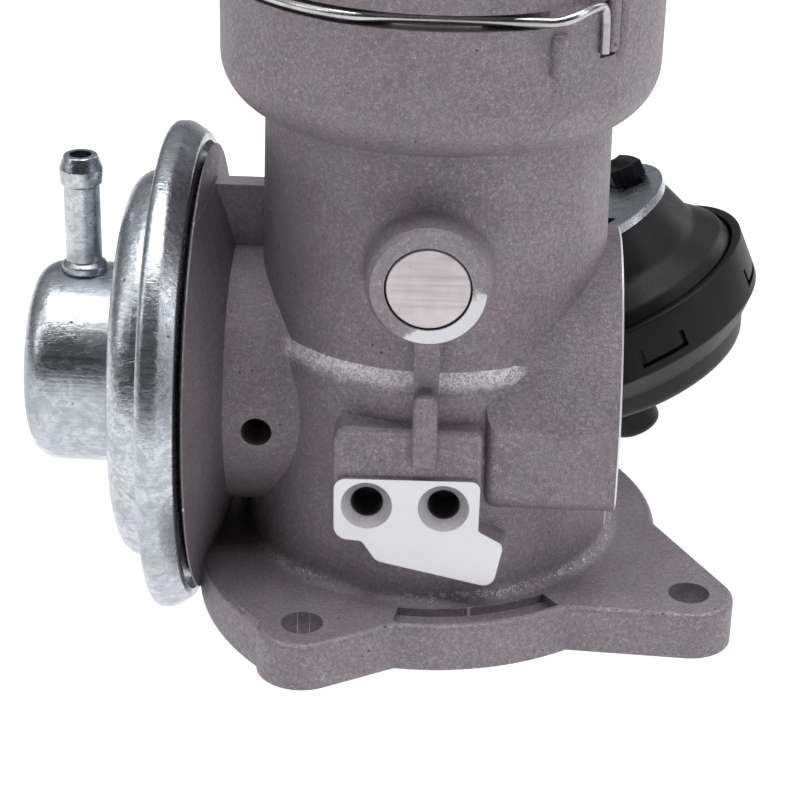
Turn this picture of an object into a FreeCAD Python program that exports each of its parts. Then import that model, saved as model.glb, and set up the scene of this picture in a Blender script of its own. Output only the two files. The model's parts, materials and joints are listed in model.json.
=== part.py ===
import FreeCAD, Part
import math
import os
from FreeCAD import Vector

# Air duct unit with an exhaust gas recirculation valve and an intake flap, in millimetres.
# Z is the duct axis, Z = 0 the flange face, -X the vacuum capsule and -Y the tapped pad.

# Flange
flange_thickness = 8.4
flange_radius = 41.0
flange_edge_round = 1.0
flange_hole_radius = 3.5
ear_radius = 7.6
left_ear = (-19.2, -41.3)
right_ear = (45.6, -26.1)
rear_ear = (-18.0, 43.5)
ear_root_radius = 36.0
left_ear_angles = (193.5, 264.6)
left_boss_angle = 186.0
left_bow = (-35.0, -29.8)
right_ear_angles = (307.4, 358.6)
flange_channel = (35.2, 39.6)
flange_channel_depth = 1.6
flange_channel_angles = (-96.0, -54.0)

# Duct casting
bore_radius = 25.0
chamber_base_radius = 32.2
chamber_top_radius = 31.0
chamber_foot_round = 2.4
shoulder_bottom = 45.8
barrel_bottom = 49.4
barrel_bottom_radius = 29.5
barrel_top_radius = 29.0
collar_radius = 36.4
collar_round = 9.0
collar_start = 95.1
collar_top = 118.0
collar_edge_round = 1.0
socket_wall = 3.4
socket_radius = collar_radius - socket_wall
socket_floor = 98.0
socket_lead_in = 1.2

# Hose clip
clip_height = 109.7
clip_wire_radius = 0.8
clip_bow_inset = 0.2
clip_bow_radius = collar_radius - clip_bow_inset
clip_chord_inset = 2.7
clip_chord_offset = collar_radius - clip_chord_inset
clip_groove_depth = 1.3
clip_slot_ends = (-16.0, 22.0)
clip_slot_height = 2.6
clip_leg_angle = 43.5
clip_leg_length = 6.6
clip_bend_radius = 2.2

# Flap, its shaft and bearings
flap_height = 67.5
flap_clearance = 0.4
flap_thickness = 1.6
flap_closing_angle = 78.0
shaft_radius = 4.0
shaft_clearance = 0.04
boss_radius = 9.9
boss_face_radius = 9.2
boss_reach = 38.0
bush_radius = 6.2
bush_length = 9.0
plug_radius = 6.75
plug_thickness = 2.4
plug_gap = 0.2
plug_recess = 0.2
seal_radius = 7.4
seal_thickness = 3.0
lever_start = 46.6
lever_thickness = 2.6
lever_arm = 14.2
lever_pin_radius = 2.5
lever_hub_radius = 7.0
lever_tip_radius = 5.2
plate_screw_offset = 10.5
plate_screw_radius = 1.6
plate_screw_head_radius = 2.9
return_spring_radius = 9.2
return_spring_wire = 0.8
return_spring_turns = 3

# Inside corners of the casting
boss_stand = boss_reach - barrel_bottom_radius
front_boss_blend = 0.294 * boss_stand
rear_boss_blend = 0.235 * boss_stand
rib_edge_round = 0.6

# Tapped pad and rib on the front
pad_face = 34.2
pad_raw_face = 33.5
pad_edge_round = 0.8
pad_hole_x = (-9.25, 3.45)
pad_hole_height = 27.0
pad_hole_radius = 2.6
pad_hole_mouth = 4.25
pad_hole_depth = 9.0
rib_width = 4.1
rib_face = 35.0
rib_step_face = 33.2
rib_bottom = 34.4
rib_step = 50.4

# Exhaust gas inlet block on the right
inlet_face = 31.9
inlet_start = 9.7
inlet_front = 31.0
inlet_rear = 22.4
inlet_crown_radius = 32.6
inlet_crown_centre = 29.9
inlet_bottom = 24.5
inlet_rear_bottom = 12.0
inlet_corner_round = 4.0
inlet_port_radius = 14.2
inlet_left_round = 2.0
inlet_face_chamfer = 0.4
inlet_bolt_offset = 16.0
inlet_bolt_radius = 3.4
inlet_bolt_depth = 12.0
seat_radius = 13.4
seat_start = 22.4
seat_thickness = 4.0
seat_bore_radius = 10.0

# Recirculation valve
valve_height = 35.5
valve_lift = 7.0
valve_head_radius = 11.4
valve_head_thickness = 3.0
stem_radius = 3.0
stem_clearance = 0.04
guide_radius = 6.0
guide_start = -37.6
guide_end = -25.8
guide_boss_radius = 9.0
neck_radius = 23.0
neck_cavity_radius = 16.0
neck_cavity_end = -28.2
neck_vent = (-28.6, 34.0)
neck_vent_radius = 2.6
bell_face = -39.2
bell_profile = ((-34.3, 23.0), (-35.9, 28.5), (-37.7, 34.0), (-38.9, 39.0))
mount_screw_circle = 19.5
mount_screw_radius = 1.6
mount_screw_head = 3.0
mount_screw_length = 9.0
mount_screw_angles = (30, 150, 270)
web_thickness = 4.1
web_top = 69.6

# Vacuum capsule, from the casting outwards to the left
sheet = 1.4
gasket_thickness = 0.5
back_flat_radius = 36.4
back_bore_radius = 7.6
back_rim_radius = 41.2
back_depth = 4.3
bead_thickness = 1.0
rim_radius = 42.8
rim_tail_radius = 40.3
rim_tail = -40.2
step_radius = 34.3
step_face = -52.8
step_round = 4.6
cup_radius = 17.55
cup_end = -69.6
cup_round = 4.8
membrane_thickness = 0.8
plate_radius = 25.0
plate_thickness = 1.2
clamp_washer_radius = 16.0
clamp_washer_thickness = 0.9
stem_nut_radius = 4.6
stem_nut_height = 3.2
valve_spring_radius = 12.4
valve_spring_wire = 1.0
valve_spring_turns = 5
nipple_x = -60.7
nipple_radius = 3.1
nipple_bore_radius = 1.9
nipple_barb_radius = 3.75
nipple_barb_taper = 2.6
nipple_barb_land = 1.4
nipple_top = 74.0
nipple_foot_radius = 4.0

# Flap actuator: its axis leans in the XZ plane and passes through ring_centre
actuator_lean = 24.9
ring_centre = (24.6, 54.0, 46.05)
bracket_sheet = 1.6
ring_radius = 19.4
ring_bore_radius = 5.0
tab_slot = (11.6, 15.6)
tab_slot_span = 64.0
tab_angles = (35, 155, 275)
tab_clearance = 0.3
tab_height = 3.4
tab_lip_radius = 17.0
bracket_tongue_width = 22.0
bracket_plate_y = 33.2
bracket_screw_rise = 8.6
bracket_screw_spacing = 13.0
bracket_screw_radius = 2.5
bracket_boss_radius = 5.4
cone_wall = 1.8
cone_neck_radius = 18.0
cone_waist = (20.6, -8.2)
cone_shoulder_radius = 27.0
seam_radius = 29.6
seam_depth = 15.0
lid_wall = 2.0
lid_step_depth = 26.7
lid_step_radius = 25.2
lid_floor_radius = 22.1
lid_depth = 35.9
snap_count = 6
snap_width = 10.0
snap_height = 4.2
snap_slit = 0.8
port_place = (-3.0, -11.0)
port_boss_radius = 5.2
port_boss_depth = 43.0
port_radius = 2.4
port_barb_radius = 3.0
port_barb_land = 1.2
port_bore_radius = 1.3
port_length = 15.0
port_drop = 4.3
rod_radius = 2.5
rod_clearance = 0.05
piston_radius = 17.2
piston_top = -8.4
piston_thickness = 2.0
rod_spring_radius = 12.5
rod_spring_wire = 0.9
rod_spring_turns = 4
eye_thickness = 4.0
eye_wall = 2.8
eye_clearance_along = 0.45
eye_clearance_across = 0.35


def disc(radius, length, base, axis):
    return Part.makeCylinder(radius, length, Vector(*base), Vector(*axis))


def ring(outer, inner, length, base, axis):
    return disc(outer, length, base, axis).cut(disc(inner, length, base, axis))


def rounded_edges(corners, place):
    """Edges of a closed outline; a corner is (a, b) or (a, b, round)."""
    points = [(c[0], c[1]) for c in corners]
    rounds = [c[2] if len(c) > 2 else 0.0 for c in corners]
    count = len(points)
    starts, ends, middles = [], [], []
    for index in range(count):
        px, py = points[index]
        ax, ay = points[index - 1]
        bx, by = points[(index + 1) % count]
        la, lb = math.hypot(ax - px, ay - py), math.hypot(bx - px, by - py)
        ua, ub = ((ax - px) / la, (ay - py) / la), ((bx - px) / lb, (by - py) / lb)
        half = math.acos(max(-1.0, min(1.0, ua[0] * ub[0] + ua[1] * ub[1]))) / 2
        cut = rounds[index] / math.tan(half) if rounds[index] else 0.0
        starts.append((px + ua[0] * cut, py + ua[1] * cut))
        ends.append((px + ub[0] * cut, py + ub[1] * cut))
        mx, my = ua[0] + ub[0], ua[1] + ub[1]
        reach = (rounds[index] / math.sin(half) - rounds[index]) if rounds[index] else 0.0
        size = math.hypot(mx, my) or 1.0
        middles.append((px + mx / size * reach, py + my / size * reach))
    edges = []
    for index in range(count):
        if rounds[index]:
            arc = Part.Arc(place(*starts[index]), place(*middles[index]), place(*ends[index]))
            edges.append(arc.toShape())
        here, there = ends[index], starts[(index + 1) % count]
        if math.hypot(here[0] - there[0], here[1] - there[1]) > 1e-6:
            edges.append(Part.makeLine(place(*here), place(*there)))
    return edges


def outline_face(corners, place):
    return Part.Face(Part.Wire(rounded_edges(corners, place)))


def slab(corners, bottom, top):
    """An outline in the XY plane, raised from bottom to top."""
    face = outline_face(corners, lambda x, y: Vector(x, y, bottom))
    return face.extrude(Vector(0, 0, top - bottom))


def front_slab(corners, near, far):
    """An outline in the XZ plane, drawn out along Y."""
    face = outline_face(corners, lambda x, z: Vector(x, near, z))
    return face.extrude(Vector(0, far - near, 0))


def side_slab(corners, left, right):
    """An outline in the YZ plane, drawn out along X."""
    face = outline_face(corners, lambda y, z: Vector(left, y, z))
    return face.extrude(Vector(right - left, 0, 0))


def turned(corners):
    """A body turned about Z from a profile of (radius, height) corners."""
    face = outline_face(corners, lambda r, z: Vector(r, 0, z))
    return face.revolve(Vector(0, 0, 0), Vector(0, 0, 1), 360)


def turned_on_valve(corners):
    """A body turned about the valve axis from a profile of (x, radius) corners."""
    face = outline_face(corners, lambda x, r: Vector(x, 0, valve_height + r))
    return face.revolve(Vector(0, 0, valve_height), Vector(1, 0, 0), 360)


def fused(shapes):
    first, rest = shapes[0], shapes[1:]
    return first.multiFuse(rest).removeSplitter() if rest else first


def lean(shape):
    """Moves a piece from the actuator's own frame to its place on the unit."""
    moved = shape.copy()
    turn = FreeCAD.Rotation(Vector(0, 1, 0), -actuator_lean)
    moved.Placement = FreeCAD.Placement(Vector(*ring_centre), turn).multiply(moved.Placement)
    return moved


def wire_body(path, radius, sides):
    """A round wire along a list of points: rings of points joined by flat facets, with both ends closed."""
    rings = []
    count = len(path)
    across = None
    for index in range(count):
        ahead = path[min(index + 1, count - 1)] - path[max(index - 1, 0)]
        ahead.normalize()
        if across is None:
            across = ahead.cross(Vector(0.31, 0.27, 0.91))
        across = across - ahead * across.dot(ahead)
        across.normalize()
        upright = ahead.cross(across)
        turns = [2 * math.pi * side / sides for side in range(sides)]
        rings.append([path[index] + across * (radius * math.cos(a)) + upright * (radius * math.sin(a))
                      for a in turns])
    faces = [Part.Face(Part.makePolygon(list(reversed(rings[0])) + [rings[0][-1]])),
             Part.Face(Part.makePolygon(rings[-1] + [rings[-1][0]]))]
    for low, high in zip(rings, rings[1:]):
        for side in range(sides):
            after = (side + 1) % sides
            for corners in ((low[side], low[after], high[after]), (low[side], high[after], high[side])):
                faces.append(Part.Face(Part.makePolygon(list(corners) + [corners[0]])))
    return Part.Solid(Part.Shell(faces))


def coil(radius, wire_radius, pitch, turns, base, axis, start_angle=0.0):
    """A closed-ended spring whose first turn starts at base and climbs along axis."""
    steps = 20 * turns
    points = []
    for index in range(steps + 1):
        turn = math.radians(start_angle) + 2 * math.pi * turns * index / steps
        points.append(Vector(radius * math.cos(turn), radius * math.sin(turn), pitch * turns * index / steps))
    place = FreeCAD.Placement(Vector(*base), FreeCAD.Rotation(Vector(0, 0, 1), Vector(*axis)))
    return wire_body([place.multVec(point) for point in points], wire_radius, 8)


def on_circle(radius, angle, centre=(0.0, 0.0)):
    turn = math.radians(angle)
    return centre[0] + radius * math.cos(turn), centre[1] + radius * math.sin(turn)


def heading(point, centre=(0.0, 0.0)):
    return math.degrees(math.atan2(point[1] - centre[1], point[0] - centre[0]))


def chosen_edges(shape, test):
    """Edges whose every sampled point passes the test."""
    chosen = []
    for edge in shape.Edges:
        step = (edge.LastParameter - edge.FirstParameter) / 5
        points = [edge.valueAt(edge.FirstParameter + (index + 0.5) * step) for index in range(5)]
        if edge.Length > 0.3 and all(test(point) for point in points):
            chosen.append(edge)
    return chosen


def tangent_angle(point, centre, radius, side):
    """Where a line from a point touches a circle: side 1 is anticlockwise of the point."""
    distance = math.hypot(point[0] - centre[0], point[1] - centre[1])
    return heading(point, centre) + side * math.degrees(math.acos(radius / distance))


def flange():
    """Disc with three bolt ears: each ear is a round boss with straight or bowed sides."""
    left_root = on_circle(flange_radius, left_ear_angles[0])
    left_foot = on_circle(flange_radius, left_ear_angles[1])
    right_foot = on_circle(flange_radius, right_ear_angles[0])
    right_root = on_circle(flange_radius, right_ear_angles[1])
    rear_way = heading(rear_ear)
    rear_spread = math.degrees(math.acos((ear_root_radius - ear_radius) / math.hypot(*rear_ear)))
    rear_reach = rear_spread - math.degrees(math.acos(ear_root_radius / flange_radius))
    steps = [("arc", flange_radius, (0, 0), left_ear_angles[1], right_ear_angles[0])]
    touch = tangent_angle(right_foot, right_ear, ear_radius, 1)
    leave = tangent_angle(right_root, right_ear, ear_radius, -1)
    steps.append(("arc", ear_radius, right_ear, touch, leave))
    steps.append(("arc", flange_radius, (0, 0), right_ear_angles[1], rear_way - rear_reach))
    steps.append(("arc", ear_radius, rear_ear, rear_way - rear_spread, rear_way + rear_spread))
    steps.append(("arc", flange_radius, (0, 0), rear_way + rear_reach, left_ear_angles[0]))
    left_start = left_boss_angle
    left_end = tangent_angle(left_foot, left_ear, ear_radius, -1)
    steps.append(("bow", left_root, left_bow, on_circle(ear_radius, left_start, left_ear)))
    steps.append(("arc", ear_radius, left_ear, left_start, left_end))
    edges = []
    first = last = None
    for step in steps:
        if step[0] == "arc":
            radius, centre, low, high = step[1:]
            while high < low:
                high += 360.0
            points = [on_circle(radius, angle, centre) for angle in (low, (low + high) / 2, high)]
        else:
            points = step[1:]
        placed = [Vector(x, y, 0) for x, y in points]
        if last is not None and last.distanceToPoint(placed[0]) > 0.001:
            edges.append(Part.makeLine(last, placed[0]))
        edges.append(Part.Arc(*placed).toShape())
        first, last = first or placed[0], placed[-1]
    edges.append(Part.makeLine(last, first))
    body = Part.Face(Part.Wire(edges)).extrude(Vector(0, 0, flange_thickness))
    top_edges = [e for e in body.Edges if e.BoundBox.ZMin > flange_thickness - 0.01]
    body = body.makeFillet(flange_edge_round, top_edges)
    return body.cut(Part.makeBox(20, 80, 20, Vector(bell_face - 20, -40, -5)))


def flange_channel_cut():
    inner, outer = flange_channel
    first, last = flange_channel_angles
    base = (0, 0, flange_thickness - flange_channel_depth)
    band = Part.makeCylinder(outer, 2 * flange_channel_depth, Vector(*base), Vector(0, 0, 1), last - first)
    core = Part.makeCylinder(inner, 2 * flange_channel_depth, Vector(*base), Vector(0, 0, 1))
    band.rotate(Vector(0, 0, 0), Vector(0, 0, 1), first)
    return band.cut(core)


def duct_outside():
    seam = collar_start - math.sqrt(collar_round ** 2 - (barrel_top_radius - collar_radius + collar_round) ** 2)
    centre = collar_radius - collar_round
    sweep = math.asin((barrel_top_radius - centre) / collar_round)
    middle = (math.pi / 2 + sweep) / 2
    lower = [(0, 1.0), (chamber_base_radius + chamber_foot_round, 1.0),
             (chamber_base_radius + chamber_foot_round, flange_thickness),
             (chamber_base_radius, flange_thickness, chamber_foot_round),
             (chamber_top_radius, shoulder_bottom, 0.8), (barrel_bottom_radius, barrel_bottom),
             (barrel_top_radius, seam)]
    place = lambda r, z: Vector(r, 0, z)
    edges = [Part.makeLine(place(0, seam), place(0, 1.0))]
    closed = rounded_edges(lower + [(0, seam)], place)
    body = Part.Face(Part.Wire(closed)).revolve(Vector(0, 0, 0), Vector(0, 0, 1), 360)
    start = place(barrel_top_radius, seam)
    through = place(centre + collar_round * math.sin(middle), collar_start - collar_round * math.cos(middle))
    arc = Part.Arc(start, through, place(collar_radius, collar_start)).toShape()
    top = [place(collar_radius, collar_start), place(collar_radius, collar_top - collar_edge_round),
           place(collar_radius - collar_edge_round, collar_top), place(0, collar_top), place(0, seam), start]
    edges = [arc] + [Part.makeLine(top[i], top[i + 1]) for i in range(len(top) - 1)]
    collar = Part.Face(Part.Wire(edges)).revolve(Vector(0, 0, 0), Vector(0, 0, 1), 360)
    return body.fuse(collar)


def duct_inside():
    return turned([(0, -1.0), (bore_radius, -1.0), (bore_radius, socket_floor), (socket_radius, socket_floor),
                   (socket_radius, collar_top - socket_lead_in), (socket_radius + socket_lead_in, collar_top),
                   (socket_radius + socket_lead_in, collar_top + 1.0), (0, collar_top + 1.0)])


def neck():
    """Stub that carries the valve, opening into a thin bell that the capsule is screwed to."""
    bell = [(bell_profile[0][0], 0.0)] + list(bell_profile) + [(bell_face, bell_profile[-1][1]), (bell_face, 0.0)]
    flared = turned_on_valve(bell)
    under = Part.makeBox(20, 100, 20, Vector(bell_face - 5, -50, -20))
    web = [(bell_face, web_top), (-27.0, web_top), (-27.0, 57.0), (-34.6, 57.0), (bell_face, 55.0)]
    tube = disc(neck_radius, -bell_face - 1.0, (bell_face + 1.0, 0, valve_height), (1, 0, 0))
    return fused([tube, flared.cut(under), front_slab(web, 0.0, web_thickness)])


def mount_screw_place(angle):
    turn = math.radians(angle)
    return mount_screw_circle * math.cos(turn), valve_height + mount_screw_circle * math.sin(turn)


def inlet_block():
    """Block for the exhaust pipe: upright front, crowned top and a deeper rear foot."""
    def crown(y):
        return inlet_crown_centre + math.sqrt(inlet_crown_radius ** 2 - y ** 2)

    place = lambda y, z: Vector(inlet_start, y, z)
    front, rear = -inlet_front, inlet_rear
    arc = Part.Arc(place(front, crown(front)), place(0, crown(0)), place(rear, crown(rear))).toShape()
    low = [(rear, crown(rear)), (rear, inlet_rear_bottom), (6.0, inlet_rear_bottom), (-12.0, inlet_bottom),
           (front, inlet_bottom, inlet_corner_round), (front, crown(front))]
    closed = rounded_edges(low, place)
    chord = place(front, crown(front)), place(rear, crown(rear))
    sides = [e for e in closed if e.Length < 50 or not on_chord(e, chord)]
    face = Part.Face(Part.Wire(Part.__sortEdges__([arc] + sides)))
    body = face.extrude(Vector(inlet_face - inlet_start, 0, 0))
    body = body.makeFillet(inlet_left_round, chosen_edges(body, lambda p: p.x < inlet_start + 0.01 and p.y < 10.0))
    return body.makeChamfer(inlet_face_chamfer, chosen_edges(body, lambda p: p.x > inlet_face - 0.01))


def on_chord(edge, chord):
    ends = [v.Point for v in edge.Vertexes]
    return all(min(end.distanceToPoint(c) for c in chord) < 0.01 for end in ends)


def boss(sign):
    """A shaft bearing boss with a drafted side, on the front (-1) or the rear (1)."""
    inner = barrel_bottom_radius - 8.0
    body = Part.makeCone(boss_radius + 0.6, boss_radius, boss_reach - 1.2 - inner,
                         Vector(0, sign * inner, flap_height), Vector(0, sign, 0))
    tip = Part.makeCone(boss_radius, boss_face_radius, 1.2,
                        Vector(0, sign * (boss_reach - 1.2), flap_height), Vector(0, sign, 0))
    return body.fuse(tip)


def pad():
    raw = [(-15.0, 41.0, 3.0), (9.5, 40.6, 1.5), (9.5, 22.8), (14.0, 20.4, 1.5), (12.4, 11.9, 2.0),
           (-8.0, 15.9, 2.0), (-10.4, 19.9, 1.0), (-15.0, 20.2, 3.0)]
    face = [(-14.7, 31.8, 2.0), (9.4, 32.2, 1.5), (9.3, 23.0, 0.8), (13.6, 20.6, 1.5), (12.0, 12.4, 2.0),
            (-7.5, 16.6, 2.0), (-10.0, 20.3, 1.0), (-14.6, 20.6, 2.4)]
    inner = bore_radius + 2.0
    rough = front_slab(raw, -pad_raw_face, -inner)
    rough = rough.makeFillet(pad_edge_round, chosen_edges(rough, lambda p: p.y < -pad_raw_face + 0.01))
    return fused([rough, front_slab(face, -pad_face, -inner)])


def rib():
    half = rib_width / 2
    upper = [(-half, rib_step), (-half, flap_height), (half, flap_height), (half, rib_step)]
    lower = [(-half, rib_bottom), (-half, rib_step - 2.6, 1.8), (half, rib_step - 2.6, 1.8), (half, rib_bottom)]
    under = [(-half, rib_bottom + 2.0), (-half, flap_height), (half, flap_height), (half, rib_bottom + 2.0)]
    inner = bore_radius + 2.0
    return fused([front_slab(under, -rib_step_face + 0.6, -inner), front_slab(upper, -rib_step_face, -inner),
                  front_slab(lower, -rib_face, -inner)])


def bracket_screw_places():
    """Screw centres (x, z) on the rear of the casting, in line with the leaning bracket."""
    turn = math.radians(actuator_lean)
    places = []
    for side in (-1, 1):
        across = side * bracket_screw_spacing / 2 - 3.0
        x = ring_centre[0] + across * math.cos(turn) - bracket_screw_rise * math.sin(turn)
        z = ring_centre[2] + across * math.sin(turn) + bracket_screw_rise * math.cos(turn)
        places.append((x, z))
    return places


def bracket_bosses():
    bosses = []
    for x, z in bracket_screw_places():
        bosses.append(disc(bracket_boss_radius, bracket_plate_y - 12.0, (x, 12.0, z), (0, 1, 0)))
    return bosses


def clip_supports():
    """The rib and the small stub beside the end of the clip."""
    guard = disc(1.3, 12.0, (0, 0, 102.0), (0, 0, 1))
    guard.translate(Vector(collar_radius - 0.3, 0, 0))
    guard.rotate(Vector(0, 0, 0), Vector(0, 0, 1), -clip_leg_angle + 4.6)
    stub = disc(1.1, 4.6, (0, 0, 100.4), (0, 0, 1))
    stub.translate(Vector(collar_radius - 0.2, 0, 0))
    stub.rotate(Vector(0, 0, 0), Vector(0, 0, 1), -58.5)
    return [guard, stub]


def clip_cuts():
    """Groove, through slots and leg pockets for the wire clip."""
    reach = collar_radius - clip_groove_depth
    groove = ring(collar_radius + 3.0, reach, clip_slot_height,
                  (0, 0, clip_height - clip_slot_height / 2), (0, 0, 1))
    groove = groove.cut(Part.makeBox(60, 120, 8, Vector(clip_slot_ends[0] + 1.0, -60, clip_height - 4)))
    cuts = [groove]
    for sign in (-1, 1):
        slot = Part.makeBox(clip_slot_ends[1] - clip_slot_ends[0], 8.0, clip_slot_height,
                            Vector(clip_slot_ends[0], -clip_chord_offset - 6.6, clip_height - clip_slot_height / 2))
        pocket = Part.makeBox(1.6, 3.4, clip_leg_length + 2.4,
                              Vector(collar_radius - 0.8, -2.0, clip_height - clip_leg_length - 0.9))
        pocket.rotate(Vector(0, 0, 0), Vector(0, 0, 1), -clip_leg_angle)
        dimple = Part.makeBox(2.4, 1.6, 2.6, Vector(collar_radius - 0.6, -0.8, 102.2))
        dimple.rotate(Vector(0, 0, 0), Vector(0, 0, 1), -62.0)
        for cut in (slot, pocket, dimple):
            cuts.append(cut if sign == -1 else cut.mirror(Vector(0, 0, 0), Vector(0, 1, 0)))
    return cuts


def shaft_cuts():
    length = 2 * (boss_reach + 1.0)
    cuts = [disc(shaft_radius + 0.4, length, (0, -length / 2, flap_height), (0, 1, 0))]
    bush_end = boss_reach - plug_recess - plug_thickness
    cuts.append(disc(bush_radius, bush_end - boss_reach + 1.0 + bush_length + 2.4,
                     (0, -bush_end, flap_height), (0, 1, 0)))
    cuts.append(disc(plug_radius + plug_gap, plug_recess + plug_thickness + 1.0,
                     (0, -boss_reach - 1.0, flap_height), (0, 1, 0)))
    rear = boss_reach - seal_thickness
    cuts.append(disc(bush_radius, bush_length, (0, rear - bush_length, flap_height), (0, 1, 0)))
    cuts.append(disc(seal_radius, seal_thickness + 1.0, (0, rear, flap_height), (0, 1, 0)))
    return cuts


def valve_cuts():
    left = bell_face
    pocket = seat_start
    cuts = [disc(seat_radius, seat_thickness + 0.2, (pocket, 0, valve_height), (1, 0, 0))]
    port = pocket + seat_thickness + 0.2
    cuts.append(disc(inlet_port_radius, inlet_face + 1.0 - port, (port, 0, valve_height), (1, 0, 0)))
    cuts.append(disc(seat_bore_radius, 12.0, (pocket - 10.0, 0, valve_height), (1, 0, 0)))
    cavity = disc(neck_cavity_radius, neck_cavity_end - left + 1.0, (left - 1.0, 0, valve_height), (1, 0, 0))
    cavity = cavity.cut(disc(guide_boss_radius, 30.0, (guide_start, 0, valve_height), (1, 0, 0)))
    cuts.append(cavity)
    cuts.append(disc(guide_radius, -guide_start, (guide_start - 1.0, 0, valve_height), (1, 0, 0)))
    vent_x, vent_z = neck_vent
    cuts.append(disc(neck_vent_radius, neck_radius - 10.0, (vent_x, -neck_radius - 1.0, vent_z), (0, 1, 0)))
    return cuts


def hole_cuts():
    cuts = []
    for ear in (left_ear, right_ear, rear_ear):
        cuts.append(disc(flange_hole_radius, flange_thickness + 2.0, (ear[0], ear[1], -1.0), (0, 0, 1)))
    mouth = pad_hole_mouth - pad_hole_radius
    for x in pad_hole_x:
        cuts.append(disc(pad_hole_radius, pad_hole_depth, (x, -pad_face, pad_hole_height), (0, 1, 0)))
        cuts.append(Part.makeCone(pad_hole_mouth, pad_hole_radius, mouth,
                                  Vector(x, -pad_face, pad_hole_height), Vector(0, 1, 0)))
    for side in (-1, 1):
        y, z = side * inlet_bolt_offset, valve_height - side * inlet_bolt_offset
        cuts.append(disc(inlet_bolt_radius, inlet_bolt_depth + 1.0, (inlet_face + 1.0, y, z), (-1, 0, 0)))
    for angle in mount_screw_angles:
        y, z = mount_screw_place(angle)
        cuts.append(disc(mount_screw_radius, mount_screw_length + 2.0, (bell_face - 2.0, y, z), (1, 0, 0)))
    for x, z in bracket_screw_places():
        cuts.append(disc(bracket_screw_radius, 12.0, (x, bracket_plate_y + 1.0, z), (0, -1, 0)))
    return cuts


def blended(solid):
    """Rounds the inside corners where the shaft bosses meet the duct, and the rib's edges."""
    def from_axis(point):
        return math.hypot(point.x, point.y)

    def at_boss(sign):
        return lambda p: (p.y * sign > 0 and 28.0 < from_axis(p) < 33.6
                          and boss_radius - 0.2 < math.hypot(p.x, p.z - flap_height) < boss_radius + 0.9)

    def at_rib(p):
        return abs(p.y + rib_face) < 0.02

    solid = solid.makeFillet(front_boss_blend, chosen_edges(solid, at_boss(-1)))
    solid = solid.makeFillet(rear_boss_blend, chosen_edges(solid, at_boss(1)))
    return solid.makeFillet(rib_edge_round, chosen_edges(solid, at_rib))


def housing():
    solid = blended(fused([duct_outside(), boss(-1), boss(1), neck(), inlet_block(), pad(), rib()]
                          + bracket_bosses()))
    solid = fused([solid, flange()] + clip_supports())
    cuts = [duct_inside(), flange_channel_cut()] + clip_cuts() + shaft_cuts() + valve_cuts() + hole_cuts()
    cutter = cuts[0].multiFuse(cuts[1:])
    return solid.cut(cutter).removeSplitter()


def hose_clip():
    """A sprung wire: a bow round the left, straight legs through both slots and hooked ends."""
    z = clip_height
    bow = clip_bow_radius
    turn = math.radians(clip_leg_angle)
    leg = collar_radius - 0.8 + clip_wire_radius + 0.45
    end = Vector(leg * math.cos(turn), -leg * math.sin(turn), z)
    joint = math.asin(clip_chord_offset / bow)
    start = Vector(-bow * math.cos(joint), -clip_chord_offset, z)
    run = Vector(end.x - 3.6, -clip_chord_offset, z)
    half = bent_path([end - Vector(0, 0, clip_leg_length), end, run, start], clip_bend_radius)
    steps = 12
    for index in range(1, steps + 1):
        angle = math.pi + joint * (steps - index) / steps
        half.append(Vector(bow * math.cos(angle), bow * math.sin(angle), z))
    other = [Vector(point.x, -point.y, point.z) for point in reversed(half[:-1])]
    return wire_body(half + other, clip_wire_radius, 12)


def bent_path(points, radius):
    """Points along straight runs with a round bend at each inner corner."""
    path = [points[0]]
    for index in range(1, len(points) - 1):
        corner = points[index]
        back = (points[index - 1] - corner).normalize()
        ahead = (points[index + 1] - corner).normalize()
        half = math.acos(max(-1.0, min(1.0, back.dot(ahead)))) / 2
        middle = (back + ahead).normalize()
        centre = corner + middle * (radius / math.sin(half))
        first, last = corner + back * (radius / math.tan(half)), corner + ahead * (radius / math.tan(half))
        steps = max(2, int((math.pi - 2 * half) / 0.35))
        start, finish = first - centre, last - centre
        sweep = start.getAngle(finish)
        for step in range(steps + 1):
            share = step / steps
            near = math.sin((1 - share) * sweep) / math.sin(sweep)
            far = math.sin(share * sweep) / math.sin(sweep)
            path.append(centre + start * near + finish * far)
    path.append(points[-1])
    return path


def shaft_core_plug():
    face = -boss_reach + plug_recess
    body = disc(plug_radius, plug_thickness, (0, face, flap_height), (0, 1, 0))
    rim = [edge for edge in body.Edges if abs(edge.BoundBox.YMax - face) < 0.01]
    return body.makeFillet(0.35, rim)


def bush(sign):
    near = boss_reach - seal_thickness if sign > 0 else boss_reach - plug_recess - plug_thickness
    return ring(bush_radius, shaft_radius + shaft_clearance, bush_length, (0, sign * near, flap_height), (0, -sign, 0))


def shaft_seal():
    start = boss_reach - seal_thickness
    return ring(seal_radius, shaft_radius + shaft_clearance, seal_thickness, (0, start, flap_height), (0, 1, 0))


def throttle_shaft():
    front = -(boss_reach - plug_recess - plug_thickness) + 0.4
    back = lever_start + lever_thickness
    body = disc(shaft_radius, back - front, (0, front, flap_height), (0, 1, 0))
    reach = bore_radius - flap_clearance + 0.1
    flat = Part.makeBox(flap_thickness + 0.02, 2 * reach, 12.0,
                        Vector(-flap_thickness / 2 - 0.01, -reach, flap_height - 6.0))
    body = body.cut(flat)
    for y in (-plate_screw_offset, plate_screw_offset):
        body = body.cut(disc(plate_screw_radius, 20, (-10, y, flap_height), (1, 0, 0)))
    tail = disc(shaft_radius - 1.0, 1.4, (0, back, flap_height), (0, 1, 0))
    return body.fuse(tail).removeSplitter()


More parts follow.
